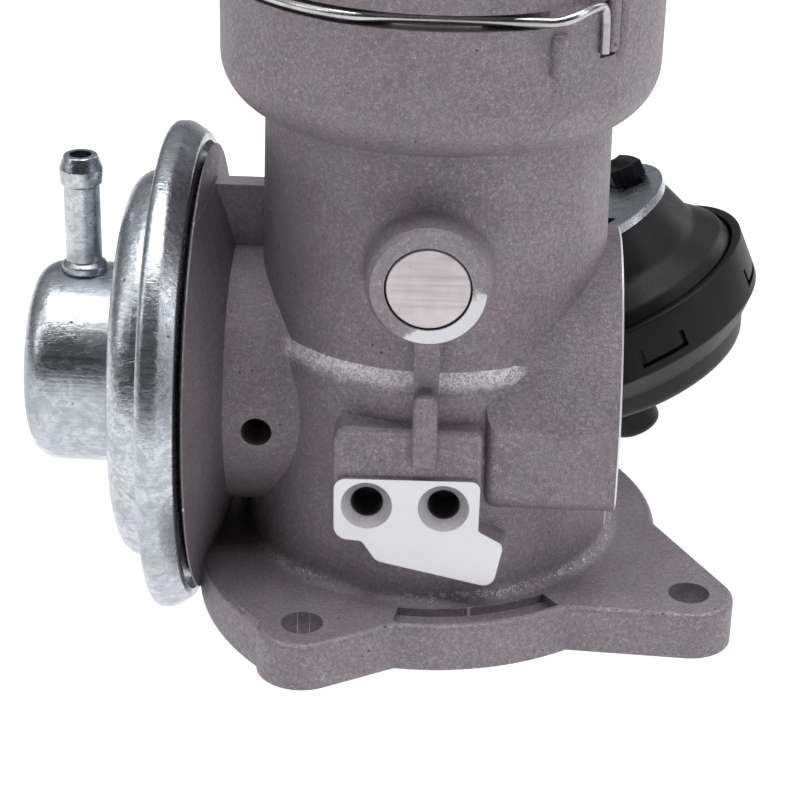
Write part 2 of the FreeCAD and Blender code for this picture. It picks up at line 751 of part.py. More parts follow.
def throttle_plate():
    reach = bore_radius - flap_clearance
    plate = disc(reach, flap_thickness, (-flap_thickness / 2, 0, flap_height), (1, 0, 0))
    for y in (-plate_screw_offset, plate_screw_offset):
        plate = plate.cut(disc(plate_screw_radius, 6, (-3, y, flap_height), (1, 0, 0)))
    return plate


def plate_screws():
    screws = []
    for y in (-plate_screw_offset, plate_screw_offset):
        head = disc(plate_screw_head_radius, 1.5, (shaft_radius - 0.4, y, flap_height), (1, 0, 0))
        head = head.makeFillet(0.6, [e for e in head.Edges if abs(e.BoundBox.XMin - shaft_radius - 1.1) < 0.01])
        bore = disc(shaft_radius, 20, (0, y - 10, flap_height), (0, 1, 0))
        shank = disc(plate_screw_radius, 2 * shaft_radius, (-shaft_radius, y, flap_height), (1, 0, 0))
        screws.append(head.cut(bore).fuse(shank).removeSplitter())
    return Part.makeCompound(screws)


def lever_angle():
    """Direction of the lever at rest, from +X towards +Z, in degrees."""
    return actuator_lean + flap_closing_angle / 2


def lever_pin_place():
    turn = math.radians(lever_angle())
    return lever_arm * math.cos(turn), flap_height + lever_arm * math.sin(turn)


def shaft_lever():
    tip_x, tip_z = lever_pin_place()
    near = lever_start
    hub = disc(lever_hub_radius, lever_thickness, (0, near, flap_height), (0, 1, 0))
    tip = disc(lever_tip_radius, lever_thickness, (tip_x, near, tip_z), (0, 1, 0))
    turn = math.radians(lever_angle())
    spread = math.acos((lever_hub_radius - lever_tip_radius) / lever_arm)
    corners = []
    for side in (1, -1):
        angle = turn + side * spread
        root = (lever_hub_radius * math.cos(angle), flap_height + lever_hub_radius * math.sin(angle))
        end = (tip_x + lever_tip_radius * math.cos(angle), tip_z + lever_tip_radius * math.sin(angle))
        corners += [root, end] if side == 1 else [end, root]
    arm = front_slab(corners, near, near + lever_thickness)
    body = fused([hub, tip, arm])
    body = body.cut(disc(shaft_radius, 20, (0, near - 5, flap_height), (0, 1, 0)))
    return body.cut(disc(lever_pin_radius, 20, (tip_x, near - 5, tip_z), (0, 1, 0)))


def lever_pin():
    tip_x, tip_z = lever_pin_place()
    reach = ring_centre[1] + eye_thickness / 2 + 1.6
    body = disc(lever_pin_radius, reach - lever_start, (tip_x, lever_start, tip_z), (0, 1, 0))
    head = disc(lever_pin_radius + 1.0, 1.2, (tip_x, reach - 1.2, tip_z), (0, 1, 0))
    return body.fuse(head).removeSplitter()


def lever_spring():
    """A torsion spring round the shaft, its tails on the casting and on the lever."""
    start = boss_reach + return_spring_wire + 0.2
    room = lever_start - start - return_spring_wire - 0.2
    return coil(return_spring_radius, return_spring_wire, room / return_spring_turns, return_spring_turns,
                (0, start, flap_height), (0, 1, 0), lever_angle())


def valve_seat():
    body = ring(seat_radius, seat_bore_radius, seat_thickness, (seat_start, 0, valve_height), (1, 0, 0))
    cone = Part.makeCone(seat_bore_radius + 1.2, seat_bore_radius, 1.2,
                         Vector(seat_start, 0, valve_height), Vector(1, 0, 0))
    return body.cut(cone)


def stem_guide():
    length = guide_end - guide_start
    body = ring(guide_radius, stem_radius + stem_clearance, length, (guide_start, 0, valve_height), (1, 0, 0))
    return body


def valve_stem():
    head_back = seat_start - valve_head_thickness
    left = membrane_x() - plate_thickness - stem_nut_height - 0.6
    return disc(stem_radius, head_back - left, (left, 0, valve_height), (1, 0, 0))


def valve_head():
    back = seat_start - valve_head_thickness
    face = seat_start - 0.35
    return turned_on_valve([(back, 0), (back, 5.0), (back + 1.0, 5.6), (back + 1.4, valve_head_radius, 0.4),
                            (back + 2.2, valve_head_radius), (face + 0.6, seat_bore_radius - 0.6),
                            (face + 0.6, 0)])


def membrane_x():
    """The left side of the membrane where the stem's plates clamp it."""
    return back_x() - sheet - 0.5 - clamp_washer_thickness - membrane_thickness


def capsule_gasket():
    body = ring(bell_profile[-1][1] - 2.0, neck_cavity_radius, gasket_thickness, (back_x(), 0, valve_height), (1, 0, 0))
    for angle in mount_screw_angles:
        y, z = mount_screw_place(angle)
        body = body.cut(disc(mount_screw_radius, 4, (back_x() - 1, y, z), (1, 0, 0)))
    return body


def back_x():
    """Face of the capsule's back that lies on the gasket."""
    return bell_face - gasket_thickness


def capsule_back():
    right = back_x()
    rim_right = right - back_depth + sheet
    body = turned_on_valve([
        (right, back_bore_radius), (right, back_flat_radius, 1.8), (rim_right, rim_tail_radius - 1.4, 0.8),
        (rim_right, back_rim_radius), (rim_right - sheet, back_rim_radius),
        (rim_right - sheet, rim_tail_radius - 2.9, 0.8), (right - sheet, back_flat_radius - 1.2, 1.0),
        (right - sheet, back_bore_radius)])
    for angle in mount_screw_angles:
        body = body.cut(mount_screw(angle))
    return body


def rim_left():
    return back_x() - back_depth - bead_thickness - sheet


def capsule_cover():
    left = rim_left()
    clamp = back_x() - back_depth + sheet
    inner_step, inner_cup = step_radius - sheet, cup_radius - sheet
    outside = [(clamp + 0.05, rim_tail_radius - 0.8), (rim_tail, rim_tail_radius - 0.8),
               (rim_tail, rim_tail_radius + 0.6, 0.5), (clamp + 0.2, rim_radius, 1.9), (left, rim_radius, 1.4),
               (left, step_radius, 0.9), (step_face, step_radius, step_round), (step_face, cup_radius, 1.6),
               (cup_end, cup_radius, cup_round), (cup_end, 0)]
    inside = [(cup_end + sheet, 0), (cup_end + sheet, inner_cup, cup_round - sheet),
              (step_face + sheet, inner_cup, 1.6 + sheet / 2), (step_face + sheet, inner_step, step_round - sheet),
              (left + sheet, inner_step, 0.9 + sheet / 2), (left + sheet, back_rim_radius),
              (clamp + 0.05, back_rim_radius)]
    body = turned_on_valve(outside + inside)
    return body.cut(disc(nipple_radius, 12, (nipple_x, 0, valve_height + inner_cup - 4), (0, 0, 1)))


def capsule_membrane():
    """Rubber disc: its bead held in the rim, one roll, and a flat clamped by the plates."""
    left = membrane_x()
    right = left + membrane_thickness
    bead_right = back_x() - back_depth
    bead_left = bead_right - bead_thickness
    edge = back_rim_radius - 0.1
    middle = (bead_left + bead_right) / 2
    return turned_on_valve([
        (left, stem_radius), (left, 27.0, 1.0), (middle - 0.15, 32.4, 0.6), (bead_left, 36.0, 0.4),
        (bead_left, edge), (bead_right, edge), (bead_right, 36.4, 0.4),
        (middle + 0.55, 32.8, 0.6), (right, 27.8, 0.6), (right, stem_radius)])


def membrane_plate():
    right = membrane_x()
    left = right - plate_thickness
    lip = left - 2.2
    return turned_on_valve([(right, stem_radius), (right, plate_radius), (left, plate_radius, 0.5),
                            (left, valve_spring_radius + 3.2), (lip, valve_spring_radius + 2.9),
                            (lip, valve_spring_radius + 1.9), (left, valve_spring_radius + 1.9),
                            (left, stem_radius)])


def membrane_washer():
    left = membrane_x() + membrane_thickness
    return ring(clamp_washer_radius, stem_radius, clamp_washer_thickness, (left, 0, valve_height), (1, 0, 0))


def stem_nut():
    right = membrane_x() - plate_thickness
    corners = []
    for index in range(6):
        angle = math.radians(60 * index)
        corners.append((stem_nut_radius * math.cos(angle), valve_height + stem_nut_radius * math.sin(angle)))
    body = side_slab(corners, right - stem_nut_height, right)
    return body.cut(disc(stem_radius, 20, (right - 10, 0, valve_height), (1, 0, 0)))


def valve_spring():
    start = membrane_x() - plate_thickness - valve_spring_wire - 0.1
    room = start - (cup_end + sheet) - valve_spring_wire - 0.1
    return coil(valve_spring_radius, valve_spring_wire, room / valve_spring_turns, valve_spring_turns,
                (start, 0, valve_height), (-1, 0, 0))


def mount_screw(angle):
    y, z = mount_screw_place(angle)
    head_face = back_x() - sheet
    shank = disc(mount_screw_radius, mount_screw_length, (head_face, y, z), (1, 0, 0))
    head = Part.makeCone(mount_screw_head, mount_screw_radius, sheet, Vector(head_face, y, z), Vector(1, 0, 0))
    return shank.fuse(head).removeSplitter()


def capsule_screws():
    """Countersunk screws from inside the capsule into the wall of the neck."""
    screws = []
    for angle in mount_screw_angles:
        y, z = mount_screw_place(angle)
        socket = disc(1.2, 1.0, (back_x() - sheet, y, z), (1, 0, 0))
        screws.append(mount_screw(angle).cut(socket))
    return Part.makeCompound(screws)


def vacuum_nipple():
    foot = valve_height + cup_radius
    land_top = nipple_top - nipple_barb_taper
    outside = [(nipple_bore_radius, foot - sheet - 1.0), (nipple_radius, foot - sheet - 1.0),
               (nipple_radius, foot + 0.15), (nipple_foot_radius, foot + 0.15, 0.5),
               (nipple_foot_radius - 0.3, foot + 1.3, 0.5), (nipple_radius, foot + 1.8, 0.6),
               (nipple_radius, nipple_top - 5.2, 0.2), (nipple_barb_radius - 0.25, nipple_top - 5.0, 0.2),
               (nipple_barb_radius, land_top - nipple_barb_land), (nipple_barb_radius, land_top),
               (nipple_radius - 0.3, nipple_top, 0.3),
               (nipple_bore_radius, nipple_top)]
    body = turned(outside)
    body.translate(Vector(nipple_x, 0, 0))
    return body.cut(disc(cup_radius, 20, (nipple_x - 10, 0, valve_height), (1, 0, 0)).cut(
        disc(nipple_radius, 60, (nipple_x, 0, 0), (0, 0, 1))))


def tab_sector(inner, outer, bottom, top, angle, span):
    band = Part.makeCylinder(outer, top - bottom, Vector(0, 0, bottom), Vector(0, 0, 1), span)
    band = band.cut(Part.makeCylinder(inner, top - bottom, Vector(0, 0, bottom), Vector(0, 0, 1)))
    band.rotate(Vector(0, 0, 0), Vector(0, 0, 1), angle - span / 2)
    return band


def actuator_bracket():
    """Pressed sheet: a round seat for the actuator, a tongue and an upright with screws."""
    turn = math.radians(actuator_lean)
    seat = disc(ring_radius, bracket_sheet, (0, 0, -bracket_sheet), (0, 0, 1))
    upright_y = bracket_plate_y - ring_centre[1]
    half = bracket_tongue_width / 2
    middle = -3.0
    tongue = Part.makeBox(2 * half, -upright_y, bracket_sheet, Vector(middle - half, upright_y, -bracket_sheet))
    height = bracket_screw_rise + 6.0
    upright = Part.makeBox(2 * half, bracket_sheet, height + bracket_sheet,
                           Vector(middle - half, upright_y, -bracket_sheet))
    body = fused([seat, tongue, upright])
    bend = [e for e in body.Edges if abs(e.BoundBox.YMax - upright_y) < 0.01
            and abs(e.BoundBox.ZMax + bracket_sheet) < 0.01 and e.BoundBox.XLength > half]
    body = body.makeFillet(bracket_sheet, bend)
    for angle in tab_angles:
        body = body.cut(tab_sector(tab_slot[0], tab_slot[1], -bracket_sheet - 1, 1, angle, tab_slot_span))
    body = body.cut(disc(ring_bore_radius, 6, (0, 0, -3), (0, 0, 1)))
    for side in (-1, 1):
        across = side * bracket_screw_spacing / 2 - 3.0
        body = body.cut(disc(bracket_screw_radius + 0.3, 6,
                             (across, upright_y - 2, bracket_screw_rise), (0, 1, 0)))
    return lean(body)


def bracket_screws():
    screws = []
    seat = bracket_plate_y + bracket_sheet
    for x, z in bracket_screw_places():
        shank = disc(bracket_screw_radius, 10.0 + bracket_sheet, (x, seat, z), (0, -1, 0))
        head = disc(bracket_screw_radius + 1.9, 3.0, (x, seat, z), (0, 1, 0))
        head = head.makeFillet(0.7, [e for e in head.Edges if abs(e.BoundBox.YMin - seat - 3.0) < 0.01])
        socket = disc(1.6, 1.8, (x, seat + 1.4, z), (0, 1, 0))
        screws.append(shank.fuse(head).cut(socket).removeSplitter())
    return Part.makeCompound(screws)


def actuator_cone():
    """Upper plastic housing with a guide for the rod and three locking tabs."""
    under = -bracket_sheet
    waist_radius, waist = cone_waist
    outside = [(rod_radius + rod_clearance, under), (cone_neck_radius, under, 0.6), (waist_radius, waist, 3.0),
               (cone_shoulder_radius - 1.0, waist - 2.6, 2.0), (seam_radius - lid_wall - 0.2, -seam_depth, 0.8),
               (seam_radius - lid_wall - 0.2, -seam_depth - 3.6)]
    inside = [(seam_radius - 2 * lid_wall - 0.2, -seam_depth - 3.6),
              (seam_radius - 2 * lid_wall - 0.2, -seam_depth + 0.6, 0.8),
              (cone_shoulder_radius - 2.0 - cone_wall, waist - 3.6, 1.0),
              (waist_radius - cone_wall, waist - 1.0, 1.5), (cone_neck_radius - cone_wall, under - cone_wall, 0.6),
              (rod_radius + 2.0, under - cone_wall), (rod_radius + 2.0, under - 4.4),
              (rod_radius + rod_clearance, under - 4.4)]
    pieces = [turned(outside + inside)]
    for angle in tab_angles:
        inner, outer = tab_slot[0] + tab_clearance, tab_slot[1] - tab_clearance
        pieces.append(tab_sector(inner, outer, under - 0.5, tab_height, angle, tab_slot_span - 14))
        pieces.append(tab_sector(inner, tab_lip_radius, 0.15, tab_height, angle - 6, tab_slot_span - 30))
    return lean(fused(pieces))


def lid_profile():
    top = -seam_depth + 0.9
    step, floor = -lid_step_depth, -lid_depth
    outside = [(0, floor), (lid_floor_radius, floor, 3.6), (lid_step_radius, step - 1.2, 1.6),
               (lid_step_radius + 0.4, step, 0.4), (seam_radius - 0.4, step, 0.8), (seam_radius, top, 0.5)]
    inside = [(seam_radius - lid_wall, top), (seam_radius - lid_wall, step + lid_wall, 0.6),
              (lid_step_radius - 1.6, step + lid_wall, 0.6), (lid_floor_radius - 1.4, floor + lid_wall, 2.0),
              (0, floor + lid_wall)]
    return outside + inside


def actuator_lid():
    """Snap-on cap with sprung tongues cut in its wall and a hose port below."""
    body = turned(lid_profile())
    inner = seam_radius - lid_wall - 1.0
    bottom = -lid_step_depth + 3.0
    for index in range(snap_count):
        half = snap_width / 2
        wide = Part.makeBox(6.0, snap_width, snap_slit, Vector(inner, -half, bottom))
        left = Part.makeBox(6.0, snap_slit, snap_height, Vector(inner, -half, bottom))
        right = Part.makeBox(6.0, snap_slit, snap_height, Vector(inner, half - snap_slit, bottom))
        for slit in (wide, left, right):
            slit.rotate(Vector(0, 0, 0), Vector(0, 0, 1), 360.0 / snap_count * index - 3.0)
            body = body.cut(slit)
    floor = -lid_depth
    x, y = port_place
    boss_body = disc(port_boss_radius, port_boss_depth + floor + 1.0, (x, y, floor + 1.0), (0, 0, -1))
    rim = [e for e in boss_body.Edges if abs(e.BoundBox.ZMax + port_boss_depth) < 0.01]
    boss_body = boss_body.makeFillet(1.6, rim)
    level = floor - port_drop
    stub = disc(port_radius, port_length, (x, y, level), (0, 1, 0))
    barb = Part.makeCone(port_barb_radius, port_radius - 0.3, 2.4, Vector(x, y + port_length - 0.6, level),
                         Vector(0, 1, 0))
    land = disc(port_barb_radius, port_barb_land, (x, y + port_length - 0.6 - port_barb_land, level), (0, 1, 0))
    body = fused([body, boss_body, stub, land, barb])
    body = body.cut(disc(port_bore_radius, port_length + 4, (x, y, level), (0, 1, 0)))
    body = body.cut(disc(port_bore_radius, 8.0, (x, y, level), (0, 0, 1)))
    return lean(body)


def actuator_membrane():
    """Rolling rubber sleeve between the seam and the piston."""
    bead = -seam_depth - 3.7
    outer = seam_radius - lid_wall - 0.2
    low = piston_top - piston_thickness
    return lean(turned([(piston_radius - 4.0, low), (piston_radius + 0.4, low, 0.3), (piston_radius + 1.5, bead - 2.6, 0.8),
                        (outer - 3.2, bead - 2.6, 0.8), (outer - 2.4, bead), (outer, bead), (outer, bead - 1.2),
                        (outer - 1.8, bead - 1.2), (outer - 2.6, bead - 3.6, 0.8), (piston_radius + 0.9, bead - 3.6, 0.8),
                        (piston_radius - 0.4, low - 1.0, 0.3), (piston_radius - 4.0, low - 1.0)]))


def rod_piston():
    low = piston_top - piston_thickness
    body = turned([(rod_radius, piston_top), (piston_radius, piston_top, 0.6), (piston_radius, low, 0.6),
                   (rod_radius, low)])
    return lean(body)


def pin_height():
    """Height of the lever pin along the actuator axis, at rest."""
    turn = math.radians(actuator_lean)
    x, z = lever_pin_place()
    return -(x - ring_centre[0]) * math.sin(turn) + (z - ring_centre[2]) * math.cos(turn)


def pin_across(angle):
    """Place of the lever pin across the actuator axis, with the lever at an angle to it."""
    turn = math.radians(actuator_lean)
    shaft = -ring_centre[0] * math.cos(turn) + (flap_height - ring_centre[2]) * math.sin(turn)
    return shaft + lever_arm * math.cos(math.radians(angle))


def eye_slot():
    """Half length and middle of the slot that the lever pin moves across in."""
    low, high = pin_across(flap_closing_angle / 2), pin_across(0)
    half = (high - low) / 2 + lever_pin_radius + eye_clearance_across
    return half, (high + low) / 2


def rod_end():
    half, middle = eye_slot()
    height = lever_pin_radius + eye_clearance_along
    centre = pin_height()
    thick = eye_thickness / 2

    def bar(half_length, half_height):
        corners = [(middle - half_length, centre - half_height, half_height - 0.01),
                   (middle - half_length, centre + half_height, half_height - 0.01),
                   (middle + half_length, centre + half_height, half_height - 0.01),
                   (middle + half_length, centre - half_height, half_height - 0.01)]
        return front_slab(corners, -thick, thick)

    body = bar(half + eye_wall, height + eye_wall)
    neck_bottom = centre - height - eye_wall - 5.0
    shank = disc(rod_radius + 1.2, 6.0, (0, 0, neck_bottom), (0, 0, 1))
    body = fused([body, shank]).cut(bar(half, height))
    return lean(body.cut(disc(rod_radius, 5.0, (0, 0, neck_bottom), (0, 0, 1))))


def rod_top():
    return pin_height() - lever_pin_radius - eye_clearance_along - eye_wall


def pull_rod():
    bottom = piston_top - piston_thickness - 1.0
    body = disc(rod_radius, rod_top() - bottom, (0, 0, bottom), (0, 0, 1))
    head = disc(rod_radius + 1.6, 1.0, (0, 0, bottom), (0, 0, 1))
    return lean(body.fuse(head).removeSplitter())


def rod_spring():
    start = piston_top - piston_thickness - rod_spring_wire - 1.2
    room = start + lid_depth - lid_wall - rod_spring_wire - 0.1
    body = coil(rod_spring_radius, rod_spring_wire, room / rod_spring_turns, rod_spring_turns,
                (0, 0, start), (0, 0, -1))
    return lean(body)


nodes = {
    "housing": housing,
    "hose_clip": hose_clip,
    "shaft_core_plug": shaft_core_plug,
    "shaft_bush_front": lambda: bush(-1),
    "shaft_bush_rear": lambda: bush(1),
    "shaft_seal": shaft_seal,
    "throttle_shaft": throttle_shaft,
    "throttle_plate": throttle_plate,
    "plate_screws": plate_screws,
    "shaft_lever": shaft_lever,
    "lever_pin": lever_pin,
    "lever_spring": lever_spring,
    "valve_seat": valve_seat,
    "stem_guide": stem_guide,
    "valve_stem": valve_stem,
    "valve_head": valve_head,
    "capsule_gasket": capsule_gasket,
    "capsule_back": capsule_back,
    "capsule_cover": capsule_cover,
    "capsule_membrane": capsule_membrane,
    "membrane_plate": membrane_plate,
    "membrane_washer": membrane_washer,
    "stem_nut": stem_nut,
    "valve_spring": valve_spring,
    "capsule_screws": capsule_screws,
    "vacuum_nipple": vacuum_nipple,
    "actuator_bracket": actuator_bracket,
    "bracket_screws": bracket_screws,
    "actuator_cone": actuator_cone,
    "actuator_lid": actuator_lid,
    "actuator_membrane": actuator_membrane,
    "rod_piston": rod_piston,
    "pull_rod": pull_rod,
    "rod_end": rod_end,
    "rod_spring": rod_spring,
}

os.makedirs("parts", exist_ok=True)
for name, make in nodes.items():
    shape = make()
    box = shape.BoundBox
    print("%-20s solids %d valid %s volume %.1f x %.1f..%.1f y %.1f..%.1f z %.1f..%.1f" % (
        name, len(shape.Solids), shape.isValid(), shape.Volume,
        box.XMin, box.XMax, box.YMin, box.YMax, box.ZMin, box.ZMax))
    shape.exportStep("parts/%s.step" % name)
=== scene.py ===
import json
import math
import bmesh
import bpy
from mathutils import Matrix, Vector


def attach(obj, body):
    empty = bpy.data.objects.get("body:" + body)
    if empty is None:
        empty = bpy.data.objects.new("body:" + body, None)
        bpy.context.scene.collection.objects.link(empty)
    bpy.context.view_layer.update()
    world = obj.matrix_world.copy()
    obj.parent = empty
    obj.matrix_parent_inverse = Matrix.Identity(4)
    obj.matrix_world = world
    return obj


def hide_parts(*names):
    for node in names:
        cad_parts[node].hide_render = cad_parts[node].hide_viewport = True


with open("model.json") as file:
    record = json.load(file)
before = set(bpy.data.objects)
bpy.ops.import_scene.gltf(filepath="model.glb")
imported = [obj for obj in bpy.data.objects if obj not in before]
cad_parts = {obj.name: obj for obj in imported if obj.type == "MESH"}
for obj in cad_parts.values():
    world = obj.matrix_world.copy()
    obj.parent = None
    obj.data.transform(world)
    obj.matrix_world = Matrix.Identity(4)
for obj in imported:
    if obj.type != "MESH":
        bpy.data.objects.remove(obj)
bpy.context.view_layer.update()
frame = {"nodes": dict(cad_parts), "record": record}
nodes = frame["nodes"]
scene = bpy.context.scene
print("frame loaded:", len(nodes), "nodes")

mm = 0.001
valveHeight = 35.5
flapHeight = 67.5


def addNode(tree, kind, values=None, **settings):
    node = tree.nodes.new(kind)
    for key, value in settings.items():
        setattr(node, key, value)
    for key, value in (values or {}).items():
        setInput(tree, node.inputs[key], value)
    return node


def setInput(tree, socket, value):
    if hasattr(value, "is_output"):
        tree.links.new(value, socket)
    else:
        socket.default_value = value


def maths(tree, operation, first, second=0.0):
    node = addNode(tree, "ShaderNodeMath", operation=operation)
    setInput(tree, node.inputs[0], first)
    setInput(tree, node.inputs[1], second)
    return node.outputs[0]


def product(tree, *values):
    result = values[0]
    for value in values[1:]:
        result = maths(tree, "MULTIPLY", result, value)
    return result


def highest(tree, *values):
    result = values[0]
    for value in values[1:]:
        result = maths(tree, "MAXIMUM", result, value)
    return result


def weighted(tree, first, second, share):
    return maths(tree, "ADD", product(tree, first, 1.0 - share), product(tree, second, share))


def remap(tree, value, low, high, toLow=0.0, toHigh=1.0):
    return addNode(tree, "ShaderNodeMapRange", {
        "Value": value, "From Min": low, "From Max": high, "To Min": toLow, "To Max": toHigh,
    }, interpolation_type="SMOOTHSTEP", clamp=True).outputs[0]


def mixColour(tree, share, first, second, blend="MIX"):
    node = addNode(tree, "ShaderNodeMix", data_type="RGBA", blend_type=blend)
    setInput(tree, node.inputs[0], share)
    for index, colour in ((6, first), (7, second)):
        opaque = colour if hasattr(colour, "is_output") else tuple(colour) + (1.0,)
        setInput(tree, node.inputs[index], opaque)
    return node.outputs[2]


def noise(tree, vector, scale, detail=2.0, rough=0.5, distortion=0.0):
    return addNode(tree, "ShaderNodeTexNoise", {
        "Vector": vector, "Scale": scale, "Detail": detail, "Roughness": rough, "Distortion": distortion,
    }).outputs["Fac"]


def scattered(tree, vector, scale, spread, chanceScale, chance):
    # small round spots, only where a slower noise allows them
    cells = addNode(tree, "ShaderNodeTexVoronoi", {"Vector": vector, "Scale": scale, "Randomness": 1.0})
    allowed = remap(tree, noise(tree, vector, chanceScale, 2.0), *chance)
    return product(tree, remap(tree, cells.outputs["Distance"], *spread), allowed)


def objectSpace(tree):
    return addNode(tree, "ShaderNodeTexCoord").outputs["Object"]


def makeGroup(name, inputs, outputs):
    group = bpy.data.node_groups.new(name, "ShaderNodeTree")
    for label, kind, value in inputs:
        socket = group.interface.new_socket(label, in_out="INPUT", socket_type=kind)
        if value is not None:
            socket.default_value = value
    for label in outputs:
        group.interface.new_socket(label, in_out="OUTPUT", socket_type="NodeSocketFloat")
    return group, group.nodes.new("NodeGroupInput"), group.nodes.new("NodeGroupOutput")


def useGroup(tree, group, values):
    return addNode(tree, "ShaderNodeGroup", values, node_tree=group).outputs


def makeGrainGroup():
    # grain of a blasted casting: fine peaks, a slower mottle and sparse pits
    group, given, made = makeGroup(
        "castGrain", [("Vector", "NodeSocketVector", None), ("Size", "NodeSocketFloat", 1.0)],
        ["Peaks", "Mottle", "Pits", "Height"])
    spot = addNode(group, "ShaderNodeVectorMath", {
        0: given.outputs["Vector"], "Scale": given.outputs["Size"]}, operation="SCALE").outputs[0]
    fine = noise(group, spot, 2600.0, 3.0, 0.65)
    middle = noise(group, spot, 900.0, 3.0, 0.6)
    slow = noise(group, spot, 95.0, 5.0, 0.62)
    pits = scattered(group, spot, 430.0, (0.22, 0.08), 240.0, (0.60, 0.66))
    peaks = remap(group, weighted(group, fine, middle, 0.4), 0.40, 0.64)
    height = maths(group, "ADD", peaks, product(group, slow, 0.8))
    height = maths(group, "SUBTRACT", height, product(group, pits, 1.6))
    for label, output in (("Peaks", peaks), ("Mottle", slow), ("Pits", pits), ("Height", height)):
        group.links.new(output, made.inputs[label])
    return group


def makeWearGroup():
    # handling marks: fine lines one way, crossing scratches and specks of dirt
    group, given, made = makeGroup(
        "metalWear", [("Vector", "NodeSocketVector", None),
                      ("Stretch", "NodeSocketVector", (60.0, 2500.0, 2500.0))],
        ["Lines", "Scratches", "Specks", "Cloud"])
    vector = given.outputs["Vector"]
    lineSpace = addNode(group, "ShaderNodeVectorMath", {0: vector, 1: given.outputs["Stretch"]},
                        operation="MULTIPLY").outputs[0]
    lines = noise(group, lineSpace, 1.0, 4.0, 0.6)
    scratches = []
    for turn, longway in (((0.3, 0.2, 0.7), 70.0), ((0.9, 0.5, -0.4), 110.0)):
        streakSpace = addNode(group, "ShaderNodeMapping", {
            "Vector": vector, "Scale": (longway, 2400.0, longway), "Rotation": turn}).outputs[0]
        scratches.append(remap(group, noise(group, streakSpace, 1.0, 1.0), 0.70, 0.75))
    area = remap(group, noise(group, vector, 130.0, 2.0), 0.48, 0.66)
    specks = scattered(group, vector, 520.0, (0.20, 0.06), 300.0, (0.60, 0.68))
    cloud = noise(group, vector, 60.0, 5.0, 0.65, 0.4)
    for label, output in (("Lines", lines), ("Scratches", product(group, highest(group, *scratches), area)),
                          ("Specks", specks), ("Cloud", cloud)):
        group.links.new(output, made.inputs[label])
    return group


grainGroup = makeGrainGroup()
wearGroup = makeWearGroup()


def newMaterial(name, metallic, **shader):
    material = bpy.data.materials.new(name)
    material.use_nodes = True
    tree = material.node_tree
    bsdf = tree.nodes["Principled BSDF"]
    bsdf.inputs["Metallic"].default_value = metallic
    for key, value in shader.items():
        bsdf.inputs[key.replace("_", " ")].default_value = value
    return material, tree, bsdf


def addBump(tree, bsdf, height, distance, strength):
    bump = addNode(tree, "ShaderNodeBump", {
        "Height": height, "Distance": distance * mm, "Strength": strength})
    tree.links.new(bump.outputs[0], bsdf.inputs["Normal"])
    return bump


def within(tree, value, low, high):
    above = maths(tree, "GREATER_THAN", value, low * mm)
    return product(tree, above, maths(tree, "LESS_THAN", value, high * mm))


def distance(tree, first, second):
    squares = maths(tree, "ADD", product(tree, first, first), product(tree, second, second))
    return maths(tree, "SQRT", squares)


castLook = {
    "dark": (0.215, 0.196, 0.217), "light": (0.400, 0.366, 0.396), "warm": (1.06, 0.97, 0.95),
    "paintedGlint": (0.62, 0.60, 0.60), "highlightTint": (0.86, 0.83, 0.86), "pit": (0.05, 0.045, 0.05),
    "machined": (0.72, 0.715, 0.75), "dulled": (0.60, 0.60, 0.62), "shade": (0.10, 0.095, 0.10),
    "flatness": 0.06, "padFace": -34.2, "bossFace": -38.0, "inletFace": 31.9,
    "inletEdge": 0.30, "inletHeights": (10.0, 66.0), "webTop": 69.6, "webSide": -27.0,
    "rubbedWay": (0.55, -0.83), "rubbedFrom": (7.2, 8.2),
    "holesMiddle": -2.9, "holeReach": 6.35, "holeHeight": 27.0, "holeRadius": 2.75, "holeFront": -25.2,
    "mouthRadius": 4.3, "mouthFront": -32.0,
    "shoulder": (45.9, 49.6), "shoulderReach": (29.3, 31.2), "shoulderMiddle": -4.0,
    "shoulderEnds": (21.5, 17.5),
    "foot": (31.0, 33.8), "footHeight": 9.3, "footBead": (0.7, 0.2),
    "grainDepth": 0.08, "grainSize": 1.45, "softEdge": 0.18,
}


def boltHoles(tree, look, x, y, z):
    sideways = maths(tree, "ABSOLUTE", maths(tree, "SUBTRACT", x, look["holesMiddle"] * mm))
    sideways = maths(tree, "SUBTRACT", sideways, look["holeReach"] * mm)
    reach = distance(tree, sideways, maths(tree, "SUBTRACT", z, look["holeHeight"] * mm))
    inside = product(tree, maths(tree, "LESS_THAN", y, look["holeFront"] * mm),
                     maths(tree, "LESS_THAN", reach, look["holeRadius"] * mm))
    mouth = product(tree, maths(tree, "LESS_THAN", y, look["mouthFront"] * mm),
                    maths(tree, "LESS_THAN", reach, look["mouthRadius"] * mm),
                    maths(tree, "SUBTRACT", 1.0, inside))
    return inside, mouth
